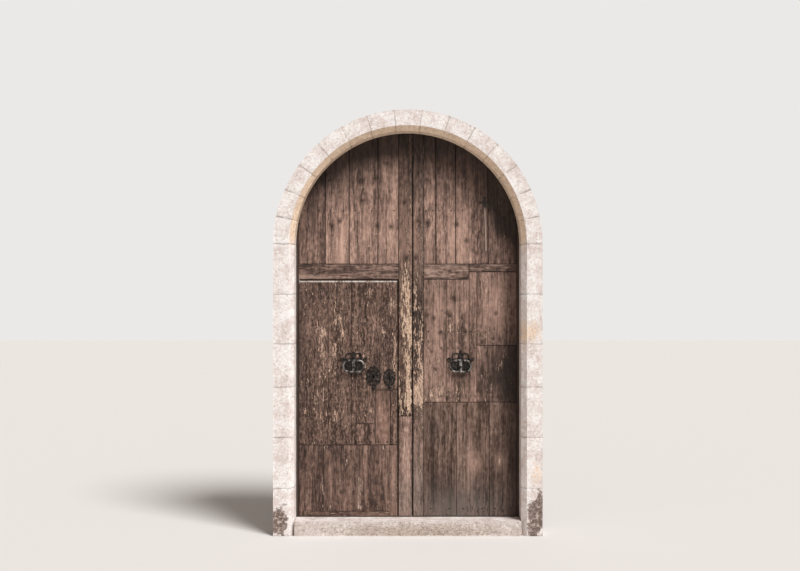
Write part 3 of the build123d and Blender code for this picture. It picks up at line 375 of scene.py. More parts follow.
def plainTimber(name, look):
    # Rough-sawn pine at the back of the leaves, dry and brown, with saw marks across it, dark on its street side
    material = bpy.data.materials.new(name)
    add = partial(addNode, emptyTree(material))
    spot = add("TexCoord", out="Object")
    noises = []
    for size, detail, roughness in look["patterns"]:
        scaled = add("VectorMath MULTIPLY", {1: [1000 / s for s in size]}, {0: spot})
        noises.append(add("TexNoise", {"Scale": 1.0, "Detail": detail, "Roughness": roughness}, {"Vector": scaled}))
    fine, broad, saw = noises
    tone = add("Math MULTIPLY_ADD", {1: 0.6}, {0: fine, 2: broad})
    colour = add("ValToRGB", {"stops": [(0.6, look["dark"]), (0.8, look["body"]), (1.0, look["lit"])]}, {0: tone})
    depth = add("SeparateXYZ", {}, {0: spot}, 1)
    street = add("MapRange", {"range": (0.085, 0.06, 0, 0.8)}, {0: depth})
    colour = add("Mix", {"data_type": "RGBA", 7: linear(look["street"])}, {0: street, 6: colour}, 2)
    relief = add("Math MULTIPLY_ADD", {1: 0.4}, {0: saw, 2: fine})
    addSurface(add, {"Roughness": 0.8, "IOR": 1.45, "Specular IOR Level": 0.3}, colour, relief, (0.6, 0.0015))
    return material


hiddenLook = {
    "dark": "4b3c33", "body": "6f5b4e", "lit": "8a7363", "street": "2e2420",
    # mm, then detail and roughness: fine and broad grain, saw marks
    "patterns": (((6, 40, 180), 5, 0.6), ((30, 40, 700), 5, 0.6), ((83.3, 83.3, 4.17), 2, 0.5)),
}
lyingGrain = (((180, 40, 6), 5, 0.6), ((700, 40, 30), 5, 0.6), ((83.3, 83.3, 4.17), 2, 0.5))
finishes["uprightTimber"] = plainTimber("sawnPineUprights", hiddenLook)
finishes["crossTimber"] = plainTimber("sawnPineLedges", {**hiddenLook, "patterns": lyingGrain})
print("iron and hidden timber finishes made")


# Timber shapes
knots = [
    # across, up, radius: round knots and pegs seen in the boards
    (-26, 2567, 19), (80, 2422, 20), (-9, 2130, 20), (62, 2132, 17), (358, 1820, 17), (156, 1682, 14),
    (204, 1661, 13), (567, 1535, 16), (260, 1549, 13), (445, 1556, 15), (717, 1491, 14), (215, 1264, 15),
    (553, 1097, 16), (703, 1048, 15), (309, 1034, 14), (-164, 2866, 14), (-364, 2742, 20), (-252, 2754, 20),
    (-352, 2580, 16), (-239, 2381, 20), (-128, 2376, 18), (-588, 2377, 16), (-526, 2419, 14), (345, 2866, 14),
    (146, 2742, 16), (158, 2406, 22), (382, 2394, 17), (457, 2270, 15), (-749, 2040, 13), (-687, 2040, 13),
    (-489, 2044, 14), (-438, 2042, 13), (581, 1474, 20), (320, 1686, 18), (330, 2030, 16), (690, 1700, 14),
    (161, 1478, 9), (186, 1402, 9), (576, 1254, 10), (655, 1204, 10), (662, 1500, 10), (-330, 1620, 13),
    (-560, 1210, 14), (-760, 1480, 13), (-330, 930, 13), (-700, 420, 14), (-520, 300, 12),
]
cracks = [
    # across, from, to, half width: long drying cracks that open along the grain
    (-707, 2100, 2560, 1.2), (-598, 2180, 2760, 1.4), (-536, 2084, 2500, 1.2), (-395, 2084, 2900, 1.6),
    (-356, 2300, 2880, 1.2), (-169, 2100, 2700, 1.4), (299, 2084, 2800, 1.4), (478, 2084, 2700, 1.3),
    (548, 2150, 2600, 1.2), (700, 2100, 2500, 1.1), (-700, 900, 1940, 1.5), (-551, 1100, 1900, 1.3),
    (-793, 700, 1400, 1.3), (-122, 1300, 1930, 1.2), (-263, 1180, 1500, 1.0), (-349, 160, 650, 1.3),
    (-801, 160, 660, 1.2), (-520, 200, 660, 1.1), (197, 1020, 1900, 1.3), (250, 1400, 1940, 1.1),
    (620, 1010, 1440, 1.2), (630, 1745, 1970, 1.7), (700, 1460, 2000, 1.3), (760, 1020, 1440, 1.1),
    (338, 120, 1000, 1.2), (431, 300, 990, 1.1), (486, 130, 900, 1.3), (611, 200, 980, 1.3),
    (200, 130, 700, 1.2), (740, 140, 800, 1.2),
]
plainBoard = {
    # what a board has unless its own look says otherwise
    "tone": 0, "step": 7, "arch": 0, "lying": False, "cuts": (),
    "flaking": 0.1, "flakes": (), "stains": (), "bleaches": (), "greys": (), "gouges": (), "paleStreaks": 0.25,
    "worn": 2.2, "relief": 0.9, "ragged": 1, "jointDirt": 0.5, "dirtReach": 3.5, "paintedTopHighlight": 0, "spread": 1.7,
}
weathering = {
    # mm: how the face has worn
    "edgeReach": 4.2, "grainRelief": 0.45, "slowRelief": 0.5, "crackDepth": 3.2, "crackDrift": 5, "knotRise": 0.9,
    "knotGroove": 1.1, "highest": 1.2,
    # how far the grain gives way to a knot, 1 for all the way round
    "grainBend": 0.72,
    # painted shade under the arch and along the right edge, where the stone surround shades the leaves, laid on with
    # the stain colour
    "shadeReach": 100, "shadeLeft": 320, "shadeRight": 430, "shadeFade": 1.6,
}


def archTop(x):
    return archSpring + np.sqrt(np.maximum(leafRadius ** 2 - x ** 2, 0))


def gridLines(low, high, step, marks=()):
    # Lines across a board, closer at its edges and at each mark
    fixed = {low, low + 1.6, low + 4.5, high - 4.5, high - 1.6, high}
    fixed |= {m for m in marks if low + 5 < m < high - 5}
    fixed = sorted(fixed)
    lines = [fixed[0]]
    for start, end in zip(fixed, fixed[1:]):
        pieces = max(1, math.ceil((end - start) / step))
        lines += [start + (end - start) * k / pieces for k in range(1, pieces + 1)]
    return np.array(lines)


def grainFlow(x, z, lying):
    # The grain bends around each knot; in a rail it runs along x
    across = (z if lying else x).copy()
    for knotX, knotZ, radius in knots:
        reachX, reachZ = (radius * 4.5, radius * 2.2) if lying else (radius * 2.2, radius * 4.5)
        near = patch(x, z, knotX, knotZ, reachX, reachZ)
        across -= (z - knotZ if lying else x - knotX) * near * weathering["grainBend"]
    return across


def fieldsOn(x, z, board):
    # How the weather has treated the face, by place, and the painted shade under the arch and along the right edge
    wander = layered(x / 60, z / 240, 11)
    streaks = board["paleStreaks"] * layered(x / 22, z / 420, board["seed"] + 3)
    fields = {"flakes": board["flaking"] + 0.18 * wander, "stains": np.zeros(x.shape),
              "bleaches": np.clip(streaks - 0.02, 0, 1), "greys": np.zeros(x.shape)}
    for key, field in fields.items():
        for *where, amount in board[key]:
            field += patch(x, z, *where) * amount
    # Painted shade: darkest at the arch and the right edge, fading inwards, and the flakes thin out under it
    high = np.clip((z - archSpring) / 700, 0, 1)
    inward = leafRadius - np.where(z > archSpring, np.hypot(x, z - archSpring), np.abs(x))
    amount = np.where(x > 0, 0.88, 0.28 + 0.72 * high)
    grows = np.where(x > 0, weathering["shadeRight"], weathering["shadeLeft"])
    reach = weathering["shadeReach"] + grows * high + 25 * wander
    paintedShade = amount * fade(np.maximum(inward, 0), reach, weathering["shadeFade"])
    return {"flaking": np.clip(fields["flakes"] - 0.7 * paintedShade, -0.5, 1.1),
            "staining": np.clip(fields["stains"] + paintedShade, 0, 0.9),
            "bleaching": np.clip(fields["bleaches"], 0, 0.85), "greying": np.clip(fields["greys"], 0, 0.85)}


def boardShape(board):
    # A board or stile: a fine grid for its face, edges that run straight back, one flat back
    board = {**plainBoard, **board}
    low, high = board["x"]
    bottom, top = board["z"]
    front, back = board["y"]
    seed, lying = board["seed"], board["lying"]
    ownCracks = [c for c in cracks if low < c[0] < high and c[1] < top and c[2] > bottom]
    marksX, marksZ = set(), set()
    for crackX, start, end, half in ownCracks:
        marksX |= {crackX - half * 1.7, crackX, crackX + half * 1.7}
    for cutLow, cutHigh, cutBottom, cutTop in board["cuts"]:
        marksX |= {cutLow, cutHigh}
        marksZ |= {cutBottom, cutTop}
    columns = gridLines(low, high, board["step"], marksX)
    rows = gridLines(bottom, top, board["step"] * 1.3, marksZ)
    x, z = np.meshgrid(columns, rows, indexing="ij")
    ceiling = np.full(x.shape, float(top))
    if board["arch"]:
        ceiling = archTop(x) - board["arch"]
        z = bottom + (z - bottom) * (ceiling - bottom) / (top - bottom)
    centreX = (columns[:-1] + columns[1:]) / 2
    centreZ = (rows[:-1] + rows[1:]) / 2
    keep = np.ones((len(centreX), len(centreZ)), bool)
    edge = np.minimum(np.minimum(x - low, high - x), np.minimum(z - bottom, ceiling - z))
    for cutLow, cutHigh, cutBottom, cutTop in board["cuts"]:
        insideX = (centreX > cutLow) & (centreX < cutHigh)
        insideZ = (centreZ > cutBottom) & (centreZ < cutTop)
        keep &= ~(insideX[:, None] & insideZ[None, :])
        offX = np.maximum(np.maximum(cutLow - x, x - cutHigh), 0)
        offZ = np.maximum(np.maximum(cutBottom - z, z - cutTop), 0)
        edge = np.minimum(edge, np.hypot(offX, offZ))
    edge = np.maximum(edge, 0)

    # Height of the face and the dirt on it
    fields = fieldsOn(x, z, board)
    across, along = grainFlow(x, z, lying), x if lying else z
    worn = board["worn"] * (1 + 0.6 * layered(x / 50, z / 70, seed + 1))
    height = -worn * np.clip(1 - edge / weathering["edgeReach"], 0, 1) ** 2
    height += weathering["grainRelief"] * layered(across / 9, along / 260, seed)
    height += weathering["slowRelief"] * layered(x / 120, z / 400, seed + 2)
    shell = layered(across / 13, along / 55, seed + 4)
    height += board["relief"] * np.clip((shell + fields["flaking"] - 0.55) * 3, -0.6, 1)
    dirt = board["jointDirt"] * np.exp(-edge / board["dirtReach"]) * (0.8 + 0.6 * layered(x / 160, z / 160, seed + 5))
    # Painted highlight: the dirt is cleared along the top edge of the boards that ask for it
    dirt *= 1 - board["paintedTopHighlight"] * fade(ceiling - z, 11)
    shiftX = np.zeros(x.shape)
    for crackX, start, end, half in ownCracks:
        line = fade(x - crackX, half * 1.3) * band(z, start, end, 120)
        line *= 0.65 + 0.35 * lattice(z / 45, z * 0 + 3.5, seed + int(abs(crackX)))
        height -= weathering["crackDepth"] * line
        dirt = np.maximum(dirt, 0.9 * line)
        shiftX += weathering["crackDrift"] * lattice(z / 130, z * 0 + crackX, 5) * fade(x - crackX, 13)
    knotting = np.zeros(x.shape)
    for knotX, knotZ, radius in knots:
        if low - 30 < knotX < high + 30 and bottom - 30 < knotZ < top + 900:
            away = np.hypot(x - knotX, (z - knotZ) * 0.85)
            ring = 0.35 * fade(away - radius * 1.25, 4)
            knotting = np.maximum(knotting, 0.85 * fade(away, radius * 0.9, 4) + ring)
            height += weathering["knotRise"] * fade(away, radius * 0.7, 4)
            height -= weathering["knotGroove"] * fade(away - radius, 5)
    for *where, deep in board["gouges"]:
        mark = patch(x, z, *where)
        height -= deep * mark
        dirt = np.maximum(dirt, 0.8 * mark)
    nibble = board["ragged"] * (0.3 + 0.5 * (lattice(z / 35, x / 35, seed + 6) + 1))
    shiftX += np.where(x - low < 0.1, nibble, 0) - np.where(high - x < 0.1, nibble, 0)
    shiftZ = np.where(z - bottom < 0.1, nibble, 0) - np.where(ceiling - z < 0.1, nibble, 0)
    height = np.minimum(height, weathering["highest"])

    # Faces of the grid, then the edges and the back
    points = np.stack([x + shiftX, front - height, z + shiftZ], -1).reshape(-1, 3)
    count = len(rows)
    cell = np.argwhere(keep)
    first = cell[:, 0] * count + cell[:, 1]
    faces = np.stack([first, first + count, first + count + 1, first + 1], -1).tolist()
    padded = np.pad(keep, 1)
    rims, rimSides = [], []
    for stepX, stepZ, one, two in ((0, -1, 0, count), (1, 0, count, count + 1), (0, 1, count + 1, 1), (-1, 0, 1, 0)):
        beside = padded[1 + stepX:1 + stepX + keep.shape[0], 1 + stepZ:1 + stepZ + keep.shape[1]]
        at = np.argwhere(keep & ~beside)
        start = at[:, 0] * count + at[:, 1]
        pairs = list(zip((start + one).tolist(), (start + two).tolist()))
        rims += pairs
        rimSides.append(((stepX, stepZ), pairs))
    rim = sorted({p for pair in rims for p in pair})
    behind = {p: len(points) + k for k, p in enumerate(rim)}
    faces += [[q, p, behind[p], behind[q]] for p, q in rims]
    after = {q: p for p, q in rims}
    while after:
        loop = [next(iter(after))]
        while loop[-1] in after:
            loop.append(after.pop(loop[-1]))
        faces.append([behind[p] for p in loop[:-1]])
    # The edges spread towards the back, where the boards meet closely
    spread = {p: [0, 0] for p in rim}
    for (stepX, stepZ), pairs in rimSides:
        for p in (p for pair in pairs for p in pair):
            spread[p] = [spread[p][0] or stepX, spread[p][1] or stepZ]
    backPoints = np.stack([x, np.full(x.shape, float(back)), z], -1).reshape(-1, 3)[rim]
    backPoints[:, ::2] += np.array([spread[p] for p in rim]) * board["spread"]

    shift = seed * patternShift
    fields |= {"grainAcross": across * mm + shift, "boardTone": np.full(x.shape, board["tone"]), "edgeDirt": dirt,
               "knotting": knotting}
    # The sheltered back is plain, with straight grain
    blank = np.zeros(len(rim))
    straight = (z if lying else x).ravel()[rim] * mm
    plain = {"grainAcross": straight + shift, "boardTone": blank + (board["tone"] - 0.05), "staining": blank + 0.2}
    fields = {key: np.concatenate([fields[key].ravel(), plain.get(key, blank)]) for key in timberFields}
    return np.concatenate([points, backPoints]), faces, fields


def blockShape(block, seed, lying):
    # A plain block behind a face that has its own shape, such as the back half of a stile
    (x0, x1), (y0, y1), (z0, z1) = block
    tops = [z1, z1] if z1 else [float(archTop(np.array(x0))), float(archTop(np.array(x1)))]
    points = np.array([(x0, y0, z0), (x1, y0, z0), (x1, y1, z0), (x0, y1, z0),
                       (x0, y0, tops[0]), (x1, y0, tops[1]), (x1, y1, tops[1]), (x0, y1, tops[0])], float)
    faces = [[0, 3, 2, 1], [4, 5, 6, 7], [0, 1, 5, 4], [1, 2, 6, 5], [2, 3, 7, 6], [3, 0, 4, 7]]
    fields = {key: np.zeros(8) for key in timberFields}
    fields["grainAcross"] = points[:, 2 if lying else 0] * mm + seed * patternShift
    return points, faces, fields


def putTogether(name, body, finish, shapes, *nodes):
    # Joins the shapes of one piece into a mesh with its fields, and hangs it on its body
    points, faces, fields, offset = [], [], {}, 0
    for shapePoints, shapeFaces, shapeFields in shapes:
        points.append(shapePoints)
        faces += [[index + offset for index in face] for face in shapeFaces]
        offset += len(shapePoints)
        for key, value in shapeFields.items():
            fields.setdefault(key, []).append(value)
    mesh = bpy.data.meshes.new(name)
    mesh.from_pydata(np.concatenate(points) * mm, [], faces)
    for key, value in fields.items():
        layer = mesh.attributes.new(key, "FLOAT", "POINT")
        layer.data.foreach_set("value", np.concatenate(value).astype(np.float32))
    mesh.materials.append(finishes[finish])
    mesh.shade_smooth()
    mesh.set_sharp_from_angle(angle=math.radians(sharpAngle))
    piece = addObject(name, mesh)
    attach(piece, body)
    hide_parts(*nodes)


def layTimber(name, body, finish, boards, node, blocks=()):
    # One piece from its boards, with the plain blocks behind them
    seed, lying = boards[0]["seed"], boards[0].get("lying", False)
    shapes = [boardShape(b) for b in boards] + [blockShape(b, seed, lying) for b in blocks]
    putTogether(name, body, finish, shapes, node)


def between(low, high, gap=jointGap):
    return low + gap, high - gap


def boardRun(joints, z, y, tones, seed, gap=jointGap, **more):
    # Boards side by side between their joints
    boards = []
    for count, (a, b) in enumerate(zip(joints, joints[1:])):
        x = between(min(a, b), max(a, b), gap)
        boards.append({"x": x, "z": z, "y": y, "tone": tones[count], "seed": seed + count * 13, **more})
    return boards


leaf = {
    # levels and edges that several pieces share
    "foot": 116, "railBottom": 1964, "wicketHead": 1978, "shortRailBottom": 2022, "railTop": 2082, "top": 3140,
    "leftStile": (-71, 34), "rightStile": (43, 123), "rim": 852, "shortRail": 478,
}
closeJoint = {"jointDirt": 0.32, "ragged": 0.4, "spread": 1.6}      # boards that meet within 2 mm

# Upper boards
upperLook = {
    "left": [-71, -233, -457, -643, -852], "right": [123, 219, 373, 626, 852],
    "leftTones": (0.03, -0.02, 0.05, -0.06), "rightTones": (-0.04, 0.01, -0.01, -0.1),
    "leftSeed": 101, "rightSeed": 211,
    "weather": {
        "arch": 1, "flaking": 0.2,
        "bleaches": ((-130, 2300, 45, 230, 0.45), (-210, 2250, 30, 220, 0.35), (-505, 2240, 28, 190, 0.6),
                     (-545, 2230, 22, 170, 0.35), (-330, 2330, 30, 160, 0.3), (345, 2240, 26, 200, 0.5),
                     (400, 2260, 30, 210, 0.45), (170, 2330, 25, 260, 0.3), (440, 2180, 50, 120, 0.35),
                     (441, 2430, 42, 70, 0.5)),
        # painted shade: these dark spots at the crown, high on the right and high on the left darken the boards where
        # the arch shades them
        "stains": ((0, 3080, 420, 150, 0.35), (770, 2480, 150, 380, 0.7), (-640, 2800, 150, 140, 0.35)),
    },
}
for side in ("left", "right"):
    boards = boardRun(upperLook[side], (leaf["railTop"] + jointGap, leaf["top"]), plane["leafBoards"],
                      upperLook[side + "Tones"], upperLook[side + "Seed"], **upperLook["weather"])
    layTimber(side + "UpperBoards", side + "_leaf", "upperBoards", boards, side + "_upper_boards")
print("upper boards made")

# Rails
railLook = {
    "lying": True, "spread": 0, "tone": -0.02, "flaking": 0.2, "worn": 2.8, "jointDirt": 0.8, "dirtReach": 4.5,
}
wholeRail, shortRail = (leaf["railBottom"], leaf["railTop"]), (leaf["shortRailBottom"], leaf["railTop"])
leftRail = {**railLook, "x": (-851.8, -71.2), "z": wholeRail, "y": plane["stileFront"], "seed": 31}
layTimber("leftTransomRail", "left_leaf", "rails", [leftRail], "left_transom_rail",
          [(leftRail["x"], plane["stileBack"], (leaf["wicketHead"], leaf["railTop"]))])
railLook["seed"] = 37
rightRail = [{**railLook, "x": (123.2, leaf["shortRail"]), "z": wholeRail, "y": plane["wholeStile"], "tone": 0.1},
             {**railLook, "x": (leaf["shortRail"], 851.8), "z": shortRail, "y": plane["shortRail"]}]
layTimber("rightTransomRail", "right_leaf", "rails", rightRail, "right_transom_rail",
          [(rightRail[1]["x"], plane["railBlock"], wholeRail)])

# Meeting stiles
stileLook = {
    "highBleaches": ((-20, 2330, 90, 330, 0.42), (85, 2330, 80, 300, 0.4)),
    "splice": (895.8, 896.6), "spliceBack": (1055.8, 1056), "rebateEdge": -56.5,
    "leftLip": (34, 38.4), "rightLip": (38.6, 43),
}
stileBody = (stileLook["rebateEdge"], leaf["leftStile"][1])
footTop, stileFoot = stileLook["splice"]
footBackTop, stileBackFoot = stileLook["spliceBack"]
leftStile = {
    # It keeps thick pale flakes from the height of the knockers up; its foot is a later splice
    "x": leaf["leftStile"], "z": (stileFoot, leaf["top"]), "y": plane["stileFront"],
    "step": 6, "arch": 1, "seed": 41, "spread": 0,
    "flaking": 0.12, "relief": 1.7, "worn": 4.0, "dirtReach": 3, "bleaches": stileLook["highBleaches"],
    "flakes": ((-5, 1500, 80, 430, 0.6), (-20, 1010, 200, 150, 0.55), (-30, 1900, 120, 90, 0.4),
               (12, 1250, 24, 600, 0.4)),
}
layTimber("leftMeetingStile", "left_leaf", "oldStile", [leftStile], "left_meeting_stile",
          [(stileBody, plane["stileBack"], (stileBackFoot, leaf["wicketHead"])),
           (leaf["leftStile"], plane["stileBack"], (leaf["wicketHead"], None)),
           (stileLook["leftLip"], plane["lip"], (stileBackFoot, None))])
splicedFoot = {
    "x": leaf["leftStile"], "z": (leaf["foot"], footTop), "y": plane["stileFront"],
    "seed": 43, "spread": 0, "flaking": 0.12, "greys": ((-20, 200, 160, 260, 0.5),),
}
layTimber("leftStileSplice", "left_leaf", "splicedFoot", [splicedFoot], "left_stile_splice",
          [(stileBody, plane["stileBack"], (leaf["foot"], footBackTop)),
           (stileLook["leftLip"], plane["lip"], (leaf["foot"], footBackTop))])
rightStile = {
    "x": leaf["rightStile"], "z": (leaf["foot"], leaf["top"]), "y": plane["wholeStile"],
    "step": 6, "arch": 1, "seed": 47, "spread": 0,
    "tone": -0.02, "flaking": 0.22, "relief": 1.5, "worn": 3.6, "bleaches": stileLook["highBleaches"],
    "flakes": ((80, 1060, 120, 190, 0.75), (110, 1500, 40, 420, 0.45), (50, 1500, 16, 420, 0.35),
               (80, 1850, 80, 150, 0.25)),
    "stains": ((75, 1640, 80, 400, 0.72),), "greys": ((80, 250, 120, 330, 0.6),),
}
layTimber("rightMeetingStile", "right_leaf", "rightStile", [rightStile], "right_meeting_stile",
          [(stileLook["rightLip"], plane["lip"], (leaf["foot"], None))])
print("rails and stiles made")

# Wicket
wicketLook = {
    "lockEdge": -79.85, "hingeEdge": -848.15, "foot": 117.35, "top": 1952.65, "waist": 671,
    "upperJoints": [-437.85, -620.85], "lowerJoints": [-375.85, -656.85],
    # the openings cut for the patches, the strip along the foot and, wider than they are, the keyholes
    "patchCuts": [(-254.35, -79, 672, 1101.5), (-412.35, -254.3, 672, 840.5)],
    "keyCuts": [(-275, -257, 1184, 1217), (-152, -134, 1174, 1207)], "footCut": (-814.5, -144.5, 110, 154.5),
}
wicketUpper = {
    # A pale flaking band runs down its left third; a painted highlight runs along the top edge
    **closeJoint, "y": plane["wicketBoards"], "paintedTopHighlight": 0.95, "paleStreaks": 0,
    "flaking": 0.3, "relief": 1.2, "worn": 1.6,
    "flakes": ((-665, 1450, 34, 240, 0.36), (-550, 1600, 62, 210, 0.26), (-770, 1150, 45, 240, 0.26),
               (-680, 1000, 34, 200, 0.3), (-590, 1180, 60, 260, 0.14), (-105, 1450, 22, 460, 0.3),
               (-110, 1850, 30, 130, 0.15), (-115, 945, 26, 90, 0.5), (-294, 937, 16, 12, 0.9),
               (-250, 1880, 70, 80, -0.25)),
    # the thin pale band along the top edge is a painted highlight, as of light caught by the edge
    "bleaches": ((-460, 1951, 1400, 7, 1.3),),
    # the last of these dark spots is a painted shadow under the left knocker ring
    "stains": ((-330, 1260, 140, 70, 0.35), (-200, 1080, 120, 60, 0.3), (-820, 1450, 60, 600, 0.35),
               (-700, 1860, 120, 90, 0.2), (-427, 1220, 38, 50, 0.6)),
}
wicketLower = {
    **closeJoint, "y": plane["wicketBoards"], "relief": 1.0, "worn": 1.6, "cuts": [wicketLook["footCut"]],
    "flakes": ((-374, 320, 12, 170, 0.85), (-385, 230, 14, 80, 0.5), (-662, 300, 10, 130, 0.75),
               (-525, 380, 10, 80, 0.8), (-142, 395, 16, 45, 0.7), (-792, 240, 10, 70, 0.7),
               (-110, 300, 16, 240, 0.35), (-600, 190, 210, 16, 0.4), (-300, 190, 150, 14, 0.4)),
    "bleaches": ((-520, 330, 11, 170, 0.25), (-380, 300, 14, 190, 0.35), (-110, 300, 22, 260, 0.3),
                 (-600, 400, 9, 150, 0.2)),
}
lockEdge, hingeEdge, waist = wicketLook["lockEdge"], wicketLook["hingeEdge"], wicketLook["waist"]
uppers = boardRun([lockEdge, *wicketLook["upperJoints"], hingeEdge], (waist + jointGap, wicketLook["top"]),
                  tones=(0.0, -0.02, 0.01), seed=301, gap=1, **wicketUpper)
uppers[0]["cuts"] = wicketLook["patchCuts"] + wicketLook["keyCuts"]
for count, board in enumerate(uppers, 1):
    layTimber("wicketUpperBoard%d" % count, "wicket", "wicketBoards", [board], "wicket_upper_board_%d" % count)
wicketPatches = [("wicketEdgeStrip", "wicket_edge_strip", (-135.35, -81.35), 1098.5, "wicketBoards", 0.02),
                 ("wicketRepairBoard", "wicket_repair_board", (-251.35, -138.35), 1098.5, "repair", -0.04),
                 ("wicketSmallPatch", "wicket_small_patch", (-409.35, -254.7), 837.5, "wicketBoards", 0.03)]
for count, (name, node, x, top, finish, tone) in enumerate(wicketPatches):
    board = {**wicketUpper, "paintedTopHighlight": 0, "flaking": 0.12, "jointDirt": 0.55, "x": x, "z": (waist + jointGap, top),
             "tone": tone, "seed": 401 + count * 7}
    layTimber(name, "wicket", finish, [board], node)
lowers = boardRun([lockEdge, *wicketLook["lowerJoints"], hingeEdge], (wicketLook["foot"], waist - jointGap),
                  tones=(0.02, 0.0, -0.02), seed=431, gap=1, **wicketLower)
layTimber("wicketLowerBoards", "wicket", "wicketLow", lowers, "wicket_lower_boards")
strip = {"x": (-813, -146), "z": (116, 153), "y": plane["wicketBoards"], "tone": -0.04, "seed": 461, "flaking": 0.25,
         "spread": 0, "jointDirt": 0.3, "worn": 1.4, "lying": True}
layTimber("wicketBottomStrip", "wicket", "footStrip", [strip], "wicket_bottom_strip")
print("wicket boards made")

# Right leaf below the rail
rightLook = {
    "waist": 1005, "sideJoint": 1448, "sideEdge": 539,
    "patchJoints": [123, 300, 369, 478], "lowJoints": [123, 380, 637, 852],
    # one set of gouges for each patch board
    "gouges": (((262, 1720, 9, 5, 2.5),), ((330, 1675, 12, 9, 4), (336, 1603, 40, 2.5, 3)),
               ((400, 1603, 34, 2.5, 3),)),
}
rightMiddle = {
    **closeJoint, "y": plane["leafBoards"], "flaking": 0.2, "worn": 1.8,
    "flakes": ((170, 1000, 90, 120, 0.5), (330, 1080, 160, 60, 0.35), (250, 1240, 60, 200, 0.2),
               (560, 1540, 60, 30, 0.5), (330, 1640, 26, 60, 0.4)),
    # painted shade: the spots at 640, 790 and 820 across darken the boards towards the right edge, which the right
    # jamb shades, and the one at 408 is a painted shadow under the right knocker ring
    "stains": ((820, 600, 60, 500, 0.35), (640, 1200, 120, 140, 0.25), (790, 1230, 150, 240, 0.85),
               (445, 1180, 60, 110, 0.25), (408, 1225, 30, 45, 0.45), (328, 1818, 26, 8, 0.5),
               (400, 1800, 30, 8, 0.45), (362, 1792, 10, 16, 0.5)),
    "bleaches": ((700, 1800, 50, 180, 0.3), (655, 1760, 120, 200, 0.18), (230, 1750, 50, 180, 0.25),
                 (500, 1900, 30, 120, 0.2), (323, 1682, 15, 5, 0.8), (622, 1758, 9, 10, 0.8), (558, 1478, 10, 8, 0.7),
                 (648, 1063, 9, 9, 0.6), (547, 1034, 9, 9, 0.6), (320, 1124, 6, 40, 0.6)),
}
rightLow = {
    # Damp has greyed the foot, and no flakes are left but for a few pale spots
    **closeJoint, "y": plane["leafBoards"], "flaking": -0.25, "worn": 1.8,
    "flakes": ((530, 525, 45, 60, 0.75), (500, 600, 20, 60, 0.5), (716, 545, 40, 60, 0.7)),
    # the spot at 800 across is painted shade along the right edge, which the right jamb shades; the others are dark
    # stains
    "stains": ((200, 790, 50, 110, 0.6), (205, 360, 70, 150, 0.55), (330, 330, 60, 190, 0.4),
               (600, 330, 60, 180, 0.35), (800, 600, 100, 500, 0.4)),
    "bleaches": ((530, 525, 45, 70, 0.45), (716, 545, 40, 60, 0.45), (490, 620, 20, 120, 0.3),
                 (620, 700, 30, 120, 0.2)),
    "greys": ((480, 180, 420, 170, 0.6), (300, 160, 200, 160, 0.3)),
}
patchBoards = boardRun(rightLook["patchJoints"], between(rightLook["waist"], leaf["railBottom"]),
                       tones=(0.04, 0.02, 0.03), seed=501, gap=1, **rightMiddle)
for board, gouges in zip(patchBoards, rightLook["gouges"]):
    board["gouges"] = gouges
layTimber("rightPatchBoards", "right_leaf", "rightBoards", patchBoards, "right_patch_boards")
waist, sideJoint, sideEdge = rightLook["waist"], rightLook["sideJoint"], rightLook["sideEdge"]
under = leaf["shortRailBottom"]
for name, node, left, right, low, high, tone, seed in (
        ("rightSideStrip", "right_side_strip", leaf["shortRail"], sideEdge, waist, under, 0.0, 541),
        ("rightSideLowerBoard", "right_side_lower_board", sideEdge, leaf["rim"], waist, sideJoint, -0.12, 557),
        ("rightSideUpperBoard", "right_side_upper_board", sideEdge, leaf["rim"], sideJoint, under, 0.01, 571)):
    board = {**rightMiddle, "x": between(left, right), "z": between(low, high), "tone": tone, "seed": seed}
    layTimber(name, "right_leaf", "rightBoards", [board], node)
rightLows = boardRun(rightLook["lowJoints"], (leaf["foot"], waist - jointGap), tones=(0.01, 0.0, -0.02),
                     seed=601, gap=1, **rightLow)
layTimber("rightLowerBoards", "right_leaf", "rightLow", rightLows, "right_lower_boards")
print("right leaf boards made")


